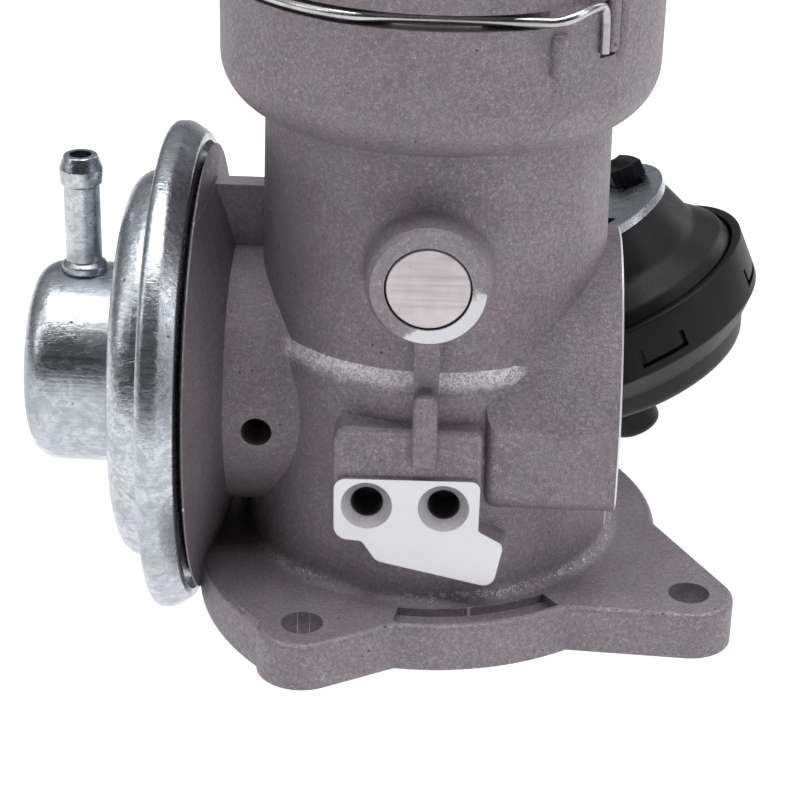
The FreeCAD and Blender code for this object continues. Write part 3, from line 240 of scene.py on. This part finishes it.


# machined faces, and a painted highlight on the flat top of the web
def machinedFacesAndWebHighlight(tree, look, space, place, normal, mouth):
    x, y, z = place
    nx, ny = normal[:2]

    def flatFace(axis, plane, facing):
        near = within(tree, axis, plane - look["flatness"], plane + look["flatness"])
        return product(tree, near, maths(tree, "GREATER_THAN", facing, 0.95))

    frontward = product(tree, ny, -1.0)
    pad = flatFace(y, look["padFace"], frontward)
    inlet = flatFace(x, look["inletFace"], nx)
    edge = product(tree, maths(tree, "GREATER_THAN", x, (look["inletFace"] - look["inletEdge"]) * mm),
                   within(tree, z, *look["inletHeights"]))
    # painted highlight: the up-facing top of the web gets the machined colour at 0.45, standing in for light
    # from above
    webTop = product(tree, maths(tree, "LESS_THAN", x, look["webSide"] * mm),
                     within(tree, z, look["webTop"] - 0.1, look["webTop"] + 0.1))
    sideways, upward = look["rubbedWay"]
    rubbed = maths(tree, "ADD", product(tree, x, sideways), product(tree, z, upward))
    rubbed = maths(tree, "ADD", rubbed, product(tree, noise(tree, space, 300.0, 4.0), 0.006))
    start, end = look["rubbedFrom"]
    rubbed = remap(tree, rubbed, (upward * flapHeight + start) * mm, (upward * flapHeight + end) * mm)
    bossRing = product(tree, flatFace(y, look["bossFace"], frontward),
                       maths(tree, "ADD", 0.10, product(tree, rubbed, 0.8)))
    return highest(tree, pad, bossRing, inlet, edge, product(tree, webTop, 0.45), product(tree, mouth, 0.5))


# painted highlight: the up-facing shoulder band and the foot bead are made lighter in the base colour,
# standing in for light from above
def shoulderHighlights(tree, look, space, place, upFacing, grain):
    x, y, z = place
    away = distance(tree, x, y)
    low, high = look["shoulder"]
    ragged = product(tree, maths(tree, "SUBTRACT", grain["Mottle"], 0.5), 2.4 * mm)
    height = maths(tree, "ADD", z, ragged)
    ends = maths(tree, "ABSOLUTE", maths(tree, "SUBTRACT", x, look["shoulderMiddle"] * mm))
    ends = maths(tree, "ADD", ends, product(tree, ragged, 1.5))
    ledge = product(tree, remap(tree, height, low * mm, (low + 2.2) * mm),
                    maths(tree, "LESS_THAN", z, high * mm),
                    maths(tree, "GREATER_THAN", upFacing, 0.12),
                    remap(tree, ends, *(end * mm for end in look["shoulderEnds"])),
                    within(tree, away, *look["shoulderReach"]))
    # painted highlight on the foot bead, granular like the shoulder's
    fromBead = maths(tree, "ABSOLUTE", maths(tree, "SUBTRACT", height, look["footHeight"] * mm))
    foot = product(tree, within(tree, away, *look["foot"]),
                   remap(tree, fromBead, *(reach * mm for reach in look["footBead"])),
                   remap(tree, grain["Peaks"], 0.50, 0.85, 0.0, 0.55),
                   remap(tree, noise(tree, space, 70.0, 2.0), 0.42, 0.60))
    paintedHighlight = product(tree, ledge, remap(tree, grain["Peaks"], 0.0, 0.8, 0.40, 1.0))
    return ledge, highest(tree, paintedHighlight, foot)


def castMaterial(look):
    material, tree, bsdf = newMaterial("blastedCasting", 0.75)
    space = objectSpace(tree)
    grain = useGroup(tree, grainGroup, {"Vector": space, "Size": look["grainSize"]})
    wear = useGroup(tree, wearGroup, {"Vector": space, "Stretch": (2400.0, 40.0, 2400.0)})
    place = addNode(tree, "ShaderNodeSeparateXYZ", {0: space}).outputs
    surface = addNode(tree, "ShaderNodeNewGeometry").outputs["Normal"]
    normal = addNode(tree, "ShaderNodeSeparateXYZ", {0: surface}).outputs
    inside, mouth = boltHoles(tree, look, *place)
    machined = machinedFacesAndWebHighlight(tree, look, space, place, normal, mouth)
    ledge, paintedHighlight = shoulderHighlights(tree, look, space, place, normal[2], grain)

    tone = maths(tree, "ADD", product(tree, remap(tree, grain["Mottle"], 0.30, 0.70), 0.20),
                 product(tree, grain["Peaks"], 0.55))
    colour = mixColour(tree, tone, look["dark"], look["light"])
    warmth = remap(tree, noise(tree, space, 150.0, 3.0, 0.6), 0.40, 0.62, 0.0, 0.55)
    colour = mixColour(tree, warmth, colour, mixColour(tree, 1.0, colour, look["warm"], "MULTIPLY"))
    # painted glints: bright specks put into the base colour, stronger on the shoulder's painted highlight
    glint = remap(tree, product(tree, grain["Peaks"], noise(tree, space, 1500.0, 1.0)), 0.50, 0.62)
    glint = product(tree, glint, maths(tree, "ADD", 0.35, product(tree, ledge, 0.5)))
    colour = mixColour(tree, glint, colour, look["paintedGlint"])
    # painted highlight on the shoulder and foot bead
    colour = mixColour(tree, paintedHighlight, colour, look["highlightTint"])
    colour = mixColour(tree, product(tree, grain["Pits"], 0.75), colour, look["pit"])
    dulling = remap(tree, wear["Cloud"], 0.35, 0.7, 0.0, 0.25)
    bright = mixColour(tree, dulling, look["machined"], look["dulled"])
    # machined faces in their own bright colour, plus the painted highlight on the web top
    colour = mixColour(tree, machined, colour, bright)
    colour = mixColour(tree, product(tree, inside, 0.65), colour, look["shade"])
    tree.links.new(colour, bsdf.inputs["Base Color"])

    castRough = product(tree, remap(tree, grain["Peaks"], 0.0, 1.0, 0.62, 0.44),
                        maths(tree, "SUBTRACT", 1.0, machined))
    tree.links.new(maths(tree, "ADD", castRough, product(tree, machined, 0.38)), bsdf.inputs["Roughness"])
    relief = product(tree, grain["Height"], remap(tree, machined, 0.0, 1.0, 1.0, 0.06))
    relief = maths(tree, "SUBTRACT", relief, product(tree, wear["Scratches"], 0.12))
    bump = addBump(tree, bsdf, relief, look["grainDepth"], 0.75)
    soft = addNode(tree, "ShaderNodeBevel", {"Radius": look["softEdge"] * mm}, samples=6)
    tree.links.new(soft.outputs[0], bump.inputs["Normal"])
    return material


zincLook = {
    "bright": (0.60, 0.625, 0.67), "dull": (0.34, 0.36, 0.395), "stain": (0.27, 0.29, 0.325),
    "line": (0.34, 0.35, 0.36), "scratch": (0.22, 0.22, 0.23), "speck": (0.05, 0.05, 0.05),
    "rough": (0.19, 0.36), "stretch": (45.0, 2600.0, 2600.0),
}


def zincMaterial(look):
    material, tree, bsdf = newMaterial("zincSheet", 1.0)
    space = objectSpace(tree)
    wear = useGroup(tree, wearGroup, {"Vector": space, "Stretch": look["stretch"]})
    spangle = remap(tree, noise(tree, space, 620.0, 5.0, 0.72, 0.5), 0.40, 0.62)
    colour = mixColour(tree, remap(tree, wear["Cloud"], 0.38, 0.68), look["bright"], look["dull"])
    drawn = remap(tree, wear["Lines"], 0.50, 0.72)
    for share, strength, tint in ((spangle, 0.55, "stain"), (drawn, 0.55, "line"),
                                  (wear["Scratches"], 0.6, "scratch"), (wear["Specks"], 0.85, "speck")):
        colour = mixColour(tree, product(tree, share, strength), colour, look[tint])
    tree.links.new(colour, bsdf.inputs["Base Color"])
    rough = remap(tree, weighted(tree, wear["Cloud"], wear["Lines"], 0.4), 0.35, 0.65, *look["rough"])
    tree.links.new(rough, bsdf.inputs["Roughness"])
    relief = maths(tree, "SUBTRACT", product(tree, wear["Lines"], 0.5),
                   maths(tree, "ADD", wear["Scratches"], wear["Specks"]))
    relief = maths(tree, "ADD", relief, product(tree, noise(tree, space, 45.0, 2.0), 3.0))
    relief = maths(tree, "ADD", relief, product(tree, spangle, 0.45))
    addBump(tree, bsdf, relief, 0.05, 0.9)
    return material


plasticLook = {"base": (0.0045, 0.0044, 0.0058), "dust": (0.013, 0.0125, 0.0155), "rough": (0.38, 0.52),
               "gloss": 0.22}


def plasticMaterial(look):
    material, tree, bsdf = newMaterial("blackMoulding", 0.0, Specular_IOR_Level=look["gloss"])
    space = objectSpace(tree)
    texture = noise(tree, space, 2200.0, 2.0, 0.6)
    slow = noise(tree, space, 75.0, 4.0, 0.6, 0.3)
    wear = useGroup(tree, wearGroup, {"Vector": space, "Stretch": (300.0, 300.0, 300.0)})
    dust = weighted(tree, remap(tree, slow, 0.45, 0.75), wear["Scratches"], 0.5)
    tree.links.new(mixColour(tree, dust, look["base"], look["dust"]), bsdf.inputs["Base Color"])
    tree.links.new(remap(tree, weighted(tree, texture, slow, 0.5), 0.35, 0.65, *look["rough"]),
                   bsdf.inputs["Roughness"])
    addBump(tree, bsdf, maths(tree, "ADD", texture, product(tree, slow, 0.4)), 0.03, 0.7)
    return material


def turnedMaterial(name, colour, dull, rough, stretch):
    material, tree, bsdf = newMaterial(name, 1.0)
    wear = useGroup(tree, wearGroup, {"Vector": objectSpace(tree), "Stretch": stretch})
    tint = mixColour(tree, remap(tree, wear["Cloud"], 0.35, 0.7), colour, dull)
    tint = mixColour(tree, product(tree, remap(tree, wear["Lines"], 0.45, 0.7), 0.4), tint, dull)
    tint = mixColour(tree, product(tree, wear["Specks"], 0.7), tint, tuple(c * 0.2 for c in dull))
    tree.links.new(tint, bsdf.inputs["Base Color"])
    tree.links.new(remap(tree, wear["Lines"], 0.3, 0.7, rough * 0.7, rough * 1.35), bsdf.inputs["Roughness"])
    addBump(tree, bsdf, maths(tree, "SUBTRACT", wear["Lines"], wear["Scratches"]), 0.02, 0.7)
    return material


def rubberMaterial(name, colour, dust, rough):
    material, tree, bsdf = newMaterial(name, 0.0)
    space = objectSpace(tree)
    slow = noise(tree, space, 180.0, 4.0, 0.65)
    fine = noise(tree, space, 3000.0, 2.0)
    tree.links.new(mixColour(tree, remap(tree, slow, 0.4, 0.7), colour, dust), bsdf.inputs["Base Color"])
    tree.links.new(remap(tree, slow, 0.3, 0.7, rough - 0.1, rough + 0.1), bsdf.inputs["Roughness"])
    addBump(tree, bsdf, maths(tree, "ADD", fine, slow), 0.03, 0.6)
    return material


casting = castMaterial(castLook)
zinc = zincMaterial(zincLook)
moulding = plasticMaterial(plasticLook)
wireSteel = turnedMaterial("springWire", (0.56, 0.55, 0.56), (0.36, 0.355, 0.365), 0.26,
                           (120.0, 900.0, 900.0))
slotMaterials = {
    "cast_aluminium": casting, "zinc_sheet": zinc, "black_plastic": moulding, "spring_wire": wireSteel,
    "steel": turnedMaterial("turnedSteel", (0.60, 0.60, 0.61), (0.38, 0.38, 0.39), 0.28,
                            (900.0, 900.0, 900.0)),
    "bearing_bronze": turnedMaterial("bearingBronze", (0.62, 0.43, 0.22), (0.38, 0.26, 0.14), 0.4,
                                     (900.0, 60.0, 900.0)),
    "brass": turnedMaterial("flapBrass", (0.74, 0.60, 0.30), (0.48, 0.38, 0.20), 0.3, (900.0, 900.0, 60.0)),
    "valve_steel": turnedMaterial("heatSteel", (0.36, 0.33, 0.31), (0.20, 0.18, 0.17), 0.38,
                                  (60.0, 900.0, 900.0)),
    "black_rubber": rubberMaterial("blackRubber", (0.012, 0.012, 0.012), (0.035, 0.034, 0.033), 0.6),
    "gasket_fibre": rubberMaterial("gasketFibre", (0.05, 0.05, 0.05), (0.11, 0.105, 0.10), 0.8),
}
plugSteel = turnedMaterial("plugSteel", (0.60, 0.555, 0.57), (0.47, 0.43, 0.445), 0.36,
                           (70.0, 900.0, 1200.0))
print("materials made")

for part in frame["record"]["subparts"]:
    target = nodes[part["node"]]
    target.data.materials.clear()
    target.data.materials.append(slotMaterials[part["material_slot"]])
nodes["shaft_core_plug"].data.materials[0] = plugSteel
print("materials on nodes")


def place(piece, body, slotName, material, *replaced, smoothAngle=35.0):
    scene.collection.objects.link(piece)
    piece.data.materials.clear()
    piece.data.materials.append(material)
    for polygon in piece.data.polygons:
        polygon.use_smooth = True
    piece.data.set_sharp_from_angle(angle=math.radians(smoothAngle))
    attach(piece, body)
    if replaced:
        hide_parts(*replaced)
    print("piece", piece.name, len(piece.data.polygons), "faces")


def roundedProfile(corners, steps=6):
    points = []
    count = len(corners)
    for index, corner in enumerate(corners):
        here = Vector(corner[:2])
        size = corner[2] if len(corner) > 2 else 0.0
        if not size:
            points.append(here)
            continue
        back = (Vector(corners[index - 1][:2]) - here).normalized()
        ahead = (Vector(corners[(index + 1) % count][:2]) - here).normalized()
        half = back.angle(ahead) / 2
        reach = size / math.tan(half)
        centre = here + (back + ahead).normalized() * (size / math.sin(half))
        first, last = here + back * reach - centre, here + ahead * reach - centre
        sweep = first.angle(last)
        for step in range(steps + 1):
            share = step / steps
            points.append(centre + (first * math.sin((1 - share) * sweep) + last * math.sin(share * sweep))
                          / math.sin(sweep))
    return points


def revolved(name, profile, toWorld, segments, wobble=None):
    # profile points are (along, radius) in mm; toWorld takes (along, across, up)
    bm = bmesh.new()
    rings = []
    for segment in range(segments):
        turn = 2 * math.pi * segment / segments
        ring = []
        for along, radius in profile:
            reach = radius + (wobble(along, turn) if wobble else 0.0)
            ring.append(bm.verts.new(toWorld(along, reach * math.cos(turn), reach * math.sin(turn))))
        rings.append(ring)
    count = len(profile)
    for segment in range(segments):
        ring, after = rings[segment], rings[(segment + 1) % segments]
        for index in range(count):
            step = (index + 1) % count
            bm.faces.new((ring[index], ring[step], after[step], after[index]))
    bmesh.ops.remove_doubles(bm, verts=bm.verts, dist=0.004 * mm)
    bmesh.ops.recalc_face_normals(bm, faces=bm.faces)
    mesh = bpy.data.meshes.new(name)
    bm.to_mesh(mesh)
    bm.free()
    return bpy.data.objects.new(name, mesh)


def onValve(along, across, up):
    return Vector((along, across, valveHeight + up)) * mm


actuatorLean = math.radians(24.9)
ringCentre = Vector((24.6, 54.0, 46.05))
leanTurn = Matrix.Rotation(-actuatorLean, 3, "Y")


def onActuator(along, across, up):
    return (ringCentre + leanTurn @ Vector((across, up, along))) * mm


capsuleShape = {
    "sheet": 1.4, "rimLeft": -46.4, "rimRadius": 42.8, "rimTail": -40.2, "tailRadius": 40.3,
    "stepFace": -52.8, "stepRadius": 34.3, "cupEnd": -69.6, "cupRadius": 17.55, "segments": 224,
}


def capsulePiece(shape):
    left, step, cup = shape["rimLeft"], shape["stepRadius"], shape["cupRadius"]
    face, end, sheet = shape["stepFace"], shape["cupEnd"], shape["sheet"]
    rim, tail = shape["rimRadius"], shape["tailRadius"]
    outer = [(end + 0.25, 0.0), (end + 0.25, cup - 7.5, 3.0), (end, cup - 5.4, 1.5), (end, cup, 4.6),
             (face, cup + 0.1, 1.5), (face, step - 1.0, 4.4), (face + 4.5, step, 2.0),
             (left, step + 0.2, 0.9),
             (left, rim, 1.5), (left + 3.2, rim, 2.6), (shape["rimTail"], tail + 0.5, 0.7),
             (shape["rimTail"], tail - 0.8)]
    inner = [(left + 2.6, tail - 0.8), (left + sheet, step - sheet, 1.2), (face + sheet, step - sheet, 3.0),
             (face + sheet, cup - sheet, 1.6), (end + sheet, cup - sheet, 3.2), (end + sheet, 0.0)]
    profile = roundedProfile(outer + inner, 7)

    def wobble(along, turn):
        return 0.035 * math.sin(3 * turn + along * 0.2) + 0.02 * math.sin(7 * turn + 1.3)

    return revolved("capsuleShell", profile, onValve, shape["segments"], wobble=wobble)


place(capsulePiece(capsuleShape), "body", "zinc_sheet", zinc, "capsule_cover")

nippleShape = {"x": -60.7, "foot": 53.05, "radius": 3.1, "bore": 1.9, "barb": 3.75, "top": 74.0}


def nipplePiece(shape):
    foot, radius, top, bore = shape["foot"], shape["radius"], shape["top"], shape["bore"]
    profile = roundedProfile([
        (foot - 1.6, bore), (foot - 1.6, radius), (foot - 0.3, radius), (foot - 0.1, radius + 0.9, 0.4),
        (foot + 1.2, radius + 0.75, 0.5), (foot + 1.9, radius, 0.6), (top - 5.3, radius, 0.3),
        (top - 5.0, shape["barb"] - 0.2, 0.3), (top - 2.4, shape["barb"], 1.0), (top, radius - 0.25, 0.35),
        (top, bore)], 5)
    return revolved("nippleTube", profile, lambda a, c, u: Vector((shape["x"] + c, u, a)) * mm, 72)


place(nipplePiece(nippleShape), "body", "zinc_sheet", zinc, "vacuum_nipple")

clipShape = {
    "height": 109.7, "bow": 36.2, "chord": 33.7, "wire": 0.8, "legAngle": 46.0, "legLength": 6.6,
    "legOut": 36.85, "bend": 1.6, "rise": 1.6, "spread": 7.4, "points": 10, "pitch": 3.1, "bowSteps": 14,
}


def clipPiece(shape):
    z, bow, chord, steps = shape["height"], shape["bow"], shape["chord"], shape["bowSteps"]
    rise, spread = shape["rise"], shape["spread"]
    turn = math.radians(shape["legAngle"])
    end = Vector((shape["legOut"] * math.cos(turn), -shape["legOut"] * math.sin(turn), z))
    joint = math.asin(chord / bow)
    half = [end - Vector((0, 0, shape["legLength"])), end - Vector((0, 0, shape["bend"])),
            end + Vector((-0.4, 0, 0.7 * rise)), end + Vector((-2.4, (end.y + chord) * -0.6, rise)),
            Vector((end.x - 0.7 * spread, -chord, z + 0.5 * rise)), Vector((end.x - spread, -chord, z))]
    for index in range(shape["points"]):
        half.append(Vector((end.x - spread - 2.6 - index * shape["pitch"], -chord, z)))
    half = [p for p in half if p.x > -bow * math.cos(joint) - 0.5 or p.z < z]
    for index in range(1, steps + 1):
        angle = math.pi + joint * (steps - index) / steps
        half.append(Vector((bow * math.cos(angle), bow * math.sin(angle), z)))
    points = half + [Vector((p.x, -p.y, p.z)) for p in reversed(half[:-1])]
    curve = bpy.data.curves.new("clipPath", "CURVE")
    curve.dimensions = "3D"
    curve.bevel_depth = shape["wire"] * mm
    curve.bevel_resolution = 5
    curve.use_fill_caps = True
    spline = curve.splines.new("NURBS")
    spline.points.add(len(points) - 1)
    for point, where in zip(spline.points, points):
        point.co = (*(where * mm), 1.0)
    spline.order_u = 3
    spline.use_endpoint_u = True
    spline.resolution_u = 5
    carrier = bpy.data.objects.new("clipCarrier", curve)
    scene.collection.objects.link(carrier)
    mesh = bpy.data.meshes.new_from_object(carrier.evaluated_get(bpy.context.evaluated_depsgraph_get()))
    mesh.name = "clipWire"
    bpy.data.objects.remove(carrier)
    return bpy.data.objects.new("clipWire", mesh)


place(clipPiece(clipShape), "body", "spring_wire", wireSteel, "hose_clip", smoothAngle=50)


def merged(name, parts):
    bm = bmesh.new()
    for part in parts:
        bm.from_mesh(part.data)
        bpy.data.objects.remove(part)
    mesh = bpy.data.meshes.new(name)
    bm.to_mesh(mesh)
    bm.free()
    return bpy.data.objects.new(name, mesh)


def arcPrism(inner, outer, low, high, angle, span, toWorld, steps=16):
    # a block bent round the axis, its middle at angle and span wide, both in degrees
    bm = bmesh.new()
    rings = []
    for step in range(steps + 1):
        turn = math.radians(angle - span / 2 + span * step / steps)
        rings.append([bm.verts.new(toWorld(a, r * math.cos(turn), r * math.sin(turn)))
                      for a, r in ((low, inner), (low, outer), (high, outer), (high, inner))])
    for step in range(steps):
        for index in range(4):
            after = (index + 1) % 4
            here, there = rings[step], rings[step + 1]
            bm.faces.new((here[index], here[after], there[after], there[index]))
    bm.faces.new(rings[0])
    bm.faces.new(rings[-1])
    bmesh.ops.recalc_face_normals(bm, faces=bm.faces)
    mesh = bpy.data.meshes.new("arcPrism")
    bm.to_mesh(mesh)
    bm.free()
    return bpy.data.objects.new("arcPrism", mesh)


def finished(piece, cutters=(), roundOff=0.0):
    # the piece's mesh after its cuts and its rounded edges
    scene.collection.objects.link(piece)
    for cutter in cutters:
        scene.collection.objects.link(cutter)
        cut = piece.modifiers.new("cut", "BOOLEAN")
        cut.operation, cut.solver, cut.object = "DIFFERENCE", "EXACT", cutter
    if roundOff:
        soft = piece.modifiers.new("soft", "BEVEL")
        soft.width, soft.segments, soft.limit_method = roundOff * mm, 2, "ANGLE"
        soft.angle_limit = math.radians(35)
    made = bpy.data.meshes.new_from_object(piece.evaluated_get(bpy.context.evaluated_depsgraph_get()))
    name = piece.name
    for item in (piece, *cutters):
        bpy.data.objects.remove(item)
    made.name = name
    return bpy.data.objects.new(name, made)


# lower cap of the flap actuator, with sprung tongues and a hose port; heights are along the leaning axis
lidShape = {
    "top": -15.4, "ring": 29.6, "wall": 1.85, "skirt": -25.4, "under": -29.4, "underRadius": 25.4,
    "floor": -35.9, "floorRadius": 22.1, "sheet": 2.0, "tongues": 6, "tongueAngle": -70.5,
    "tongueSpan": 19.0, "tongueTop": -20.3, "tongueLow": -23.8, "slit": 0.95, "slitSpan": 1.9,
    "port": (-3.0, -11.0), "portRadius": 5.2, "portEnd": -43.0,
    "stubAt": -40.2, "stubRadius": 2.4, "stubLength": 15.0, "stubBore": 1.3, "barb": 3.0,
}


def tongueCutters(shape):
    inner, outer = shape["ring"] - shape["wall"] + 0.5, shape["ring"] + 2
    low, top = shape["tongueLow"], shape["tongueTop"]
    span, slitSpan = shape["tongueSpan"], shape["slitSpan"]
    cutters = []
    for index in range(shape["tongues"]):
        middle = shape["tongueAngle"] + 360 / shape["tongues"] * index
        cutters.append(arcPrism(inner, outer, low, low + shape["slit"], middle, span, onActuator))
        for side in (-1, 1):
            beside = middle + side * (span - slitSpan) / 2
            cutters.append(arcPrism(inner, outer, low + 0.3, top, beside, slitSpan, onActuator, 3))
    return cutters


def hosePort(shape):
    x, y = shape["port"]
    floor, radius, end = shape["floor"], shape["portRadius"], shape["portEnd"]
    boss = revolved("boss", roundedProfile([
        (floor + 1.0, 0.0), (floor + 1.0, radius), (end, radius - 0.1, 1.6), (end, 0.0)]),
        lambda a, c, u: onActuator(a, x + c, y + u), 72)
    radius, length, bore = shape["stubRadius"], shape["stubLength"], shape["stubBore"]
    stub = revolved("stub", roundedProfile([
        (0.0, 0.0), (0.0, radius), (length - 1.4, radius, 0.2), (length - 1.2, shape["barb"] - 0.2, 0.3),
        (length + 1.8, radius - 0.1, 0.4), (length + 1.8, bore), (length - 8.0, bore),
        (length - 8.0, 0.0)], 4),
        lambda a, c, u: onActuator(shape["stubAt"] + u, x + c, y + a), 48)
    return [boss, stub]


def lidPiece(shape):
    top, ring, wall, floor = shape["top"], shape["ring"], shape["wall"], shape["floor"]
    under, skirt, sheet = shape["under"], shape["skirt"], shape["sheet"]
    profile = roundedProfile([
        (floor, 0.0), (floor, shape["floorRadius"], 4.0), (under - 1.0, shape["underRadius"] - 0.9, 1.2),
        (under, shape["underRadius"], 0.7), (skirt, ring - 0.35, 1.0), (top, ring, 0.5),
        (top, ring - wall, 0.35),
        (skirt - 0.2, ring - wall, 0.6), (under - 0.6, shape["underRadius"] - 1.8, 0.6),
        (floor + sheet, shape["floorRadius"] - 1.6, 2.0), (floor + sheet, 0.0)])
    shell = finished(revolved("lidShell", profile, onActuator, 288), tongueCutters(shape))
    return merged("lidShell", [shell] + hosePort(shape))


place(lidPiece(lidShape), "body", "black_plastic", moulding, "actuator_lid", smoothAngle=40)

# upper housing of the flap actuator, with the locking lugs that stand through the bracket
coneShape = {
    "under": -1.6, "neck": 18.9, "waist": (-9.6, 22.0), "shoulder": (-13.4, 26.2), "rim": 27.15,
    "seam": -15.6, "low": -18.6, "wall": 1.9, "well": (10.6, 16.6, -5.2), "guide": 2.55, "guideLength": 8.0,
    "lugs": (29, 149, 269), "lugInner": 11.9, "lugOuter": 15.3, "lugSpan": 32.0, "lugTop": 3.4,
    "lipInner": 10.4, "lipOuter": 17.0, "lipSpan": 29.0, "lipLow": 0.12,
}


def conePiece(shape):
    under, wall, guide = shape["under"], shape["wall"], shape["guide"]
    waist, waistRadius = shape["waist"]
    shoulder, shoulderRadius = shape["shoulder"]
    inner, outer, depth = shape["well"]
    rim, seam, low, top = shape["rim"], shape["seam"], shape["low"], shape["lugTop"]
    guideEnd = under - shape["guideLength"]
    profile = roundedProfile([
        (under, guide), (under, inner, 0.3), (depth, inner + 0.2, 0.3), (depth, outer - 0.2, 0.3),
        (under, outer, 0.3), (under, shape["neck"], 0.6), (waist, waistRadius, 5.0),
        (shoulder, shoulderRadius, 2.2), (seam, rim, 0.5), (low, rim), (low, rim - wall),
        (seam + 0.6, rim - wall - 0.6, 0.6), (shoulder + 1.6, shoulderRadius - 3.4, 1.2),
        (depth - wall, outer - 0.4, 0.8), (depth - wall, guide + 2.0), (guideEnd, guide + 2.0),
        (guideEnd, guide)])
    parts = [revolved("coneShell", profile, onActuator, 256)]
    for angle in shape["lugs"]:
        post = arcPrism(shape["lugInner"], shape["lugOuter"], depth - 0.5, top, angle, shape["lugSpan"],
                        onActuator)
        lip = arcPrism(shape["lipInner"], shape["lipOuter"], shape["lipLow"], top, angle, shape["lipSpan"],
                       onActuator)
        parts += [finished(post, roundOff=0.35), finished(lip, roundOff=0.45)]
    return merged("coneShell", parts)


place(conePiece(coneShape), "body", "black_plastic", moulding, "actuator_cone", smoothAngle=40)

# guard post and peg cast beside the end of the wire clip, and the flush skin next to the peg
pegShape = {
    "guard": {"angle": -42.9, "reach": 36.5, "radius": 1.15, "low": 104.0, "high": 117.2},
    "peg": {"angle": -59.2, "reach": 36.25, "radius": 1.5, "low": 101.6, "high": 107.2},
    "skin": {"inner": 34.0, "outer": 36.42, "low": 101.8, "high": 105.2, "angle": -62.0, "span": 4.6},
}


def roundPost(angle, reach, radius, low, high):
    turn = math.radians(angle)
    x, y = reach * math.cos(turn), reach * math.sin(turn)
    profile = roundedProfile([(low - radius, 0.0), (low - radius, radius, radius * 0.98),
                              (high, radius, 0.4), (high, 0.0)], 8)
    return revolved("peg", profile, lambda a, c, u: Vector((x + c, y + u, a)) * mm, 40)


def pegPiece(shape):
    skin = arcPrism(toWorld=lambda a, x, y: Vector((x, y, a)) * mm, **shape["skin"])
    return merged("clipPegs", [roundPost(**shape["guard"]), roundPost(**shape["peg"]), skin])


place(pegPiece(pegShape), "body", "cast_aluminium", casting)

# focal is in pixels of a picture 800 pixels wide
cameraLook = {"position": (8.28, -374.4, 209.8), "target": (-5.371, 0.0, 30.114), "roll": 1.396,
              "focal": 2345.0, "pixels": 800.0, "sensor": 36.0}


def aimCamera(look):
    data = bpy.data.cameras.new("photoCamera")
    camera = bpy.data.objects.new("photoCamera", data)
    scene.collection.objects.link(camera)
    data.sensor_width = look["sensor"]
    data.lens = look["focal"] * look["sensor"] / look["pixels"]
    data.clip_start, data.clip_end = 0.01, 20.0
    position, target = Vector(look["position"]) * mm, Vector(look["target"]) * mm
    sight = (target - position).normalized()
    turn = sight.to_track_quat("-Z", "Y").to_matrix() @ Matrix.Rotation(math.radians(look["roll"]), 3, "Z")
    camera.matrix_world = Matrix.Translation(position) @ turn.to_4x4()
    scene.camera = camera


aimCamera(cameraLook)

floorLook = {"height": -7.6, "size": 3.0, "colour": (0.16, 0.16, 0.16), "glow": 1.02}


def makeFloor(look):
    mesh = bpy.data.meshes.new("paleFloor")
    half, z = look["size"] / 2, look["height"] * mm
    corners = [(-half, -half, z), (half, -half, z), (half, half, z), (-half, half, z)]
    mesh.from_pydata(corners, [], [(0, 1, 2, 3)])
    floor = bpy.data.objects.new("paleFloor", mesh)
    scene.collection.objects.link(floor)
    material, _, bsdf = newMaterial("paleFloor", 0.0, Roughness=0.8)
    bsdf.inputs["Base Color"].default_value = look["colour"] + (1.0,)
    bsdf.inputs["Emission Color"].default_value = (1.0, 1.0, 1.0, 1.0)
    bsdf.inputs["Emission Strength"].default_value = look["glow"]
    mesh.materials.append(material)


makeFloor(floorLook)

lightLook = [
    {"name": "keyLeft", "place": (-0.75, -0.30, 0.62), "aim": (0.0, 0.0, 0.06),
     "size": (0.35, 0.7), "power": 1.6},
    {"name": "fillRight", "place": (0.80, -0.22, 0.50), "aim": (0.0, 0.0, 0.06),
     "size": (0.35, 0.8), "power": 2.2},
    {"name": "topSoft", "place": (0.0, -0.06, 0.95), "aim": (0.0, 0.0, 0.05),
     "size": (0.9, 0.50), "power": 8.0},
    {"name": "rimRight", "place": (0.60, 0.60, 0.40), "aim": (0.0, 0.0, 0.06),
     "size": (0.3, 0.6), "power": 1.2},
]


def hangLight(look):
    data = bpy.data.lights.new(look["name"], "AREA")
    data.shape = "RECTANGLE"
    data.size, data.size_y = look["size"]
    data.energy = look["power"]
    lamp = bpy.data.objects.new(look["name"], data)
    lamp.location = look["place"]
    sight = Vector(look["aim"]) - Vector(look["place"])
    lamp.rotation_euler = sight.to_track_quat("-Z", "Y").to_euler()
    scene.collection.objects.link(lamp)


for look in lightLook:
    hangLight(look)

# the room is darker in front of the object; the camera itself sees it white
roomLook = {"level": (0.16, 0.55), "zenith": 0.85, "front": (0.15, -0.60), "frontShare": 0.14,
            "tint": (0.96, 0.975, 1.0)}


def makeWorld(look):
    world = bpy.data.worlds.new("softRoom")
    scene.world = world
    world.use_nodes = True
    tree = world.node_tree
    background = tree.nodes["Background"]
    direction = addNode(tree, "ShaderNodeTexCoord").outputs["Generated"]
    split = addNode(tree, "ShaderNodeSeparateXYZ", {0: direction}).outputs
    above = remap(tree, split["Z"], 0.0, look["zenith"], *look["level"])
    front = remap(tree, split["Y"], *look["front"], 1.0, look["frontShare"])
    seen = addNode(tree, "ShaderNodeLightPath").outputs["Is Camera Ray"]
    level = maths(tree, "ADD", product(tree, above, front, maths(tree, "SUBTRACT", 1.0, seen)), seen)
    tree.links.new(mixColour(tree, seen, look["tint"], (1.0, 1.0, 1.0)), background.inputs["Color"])
    tree.links.new(level, background.inputs["Strength"])


makeWorld(roomLook)
scene.view_settings.view_transform = "Standard"
scene.view_settings.look = "None"
print("light and camera set")
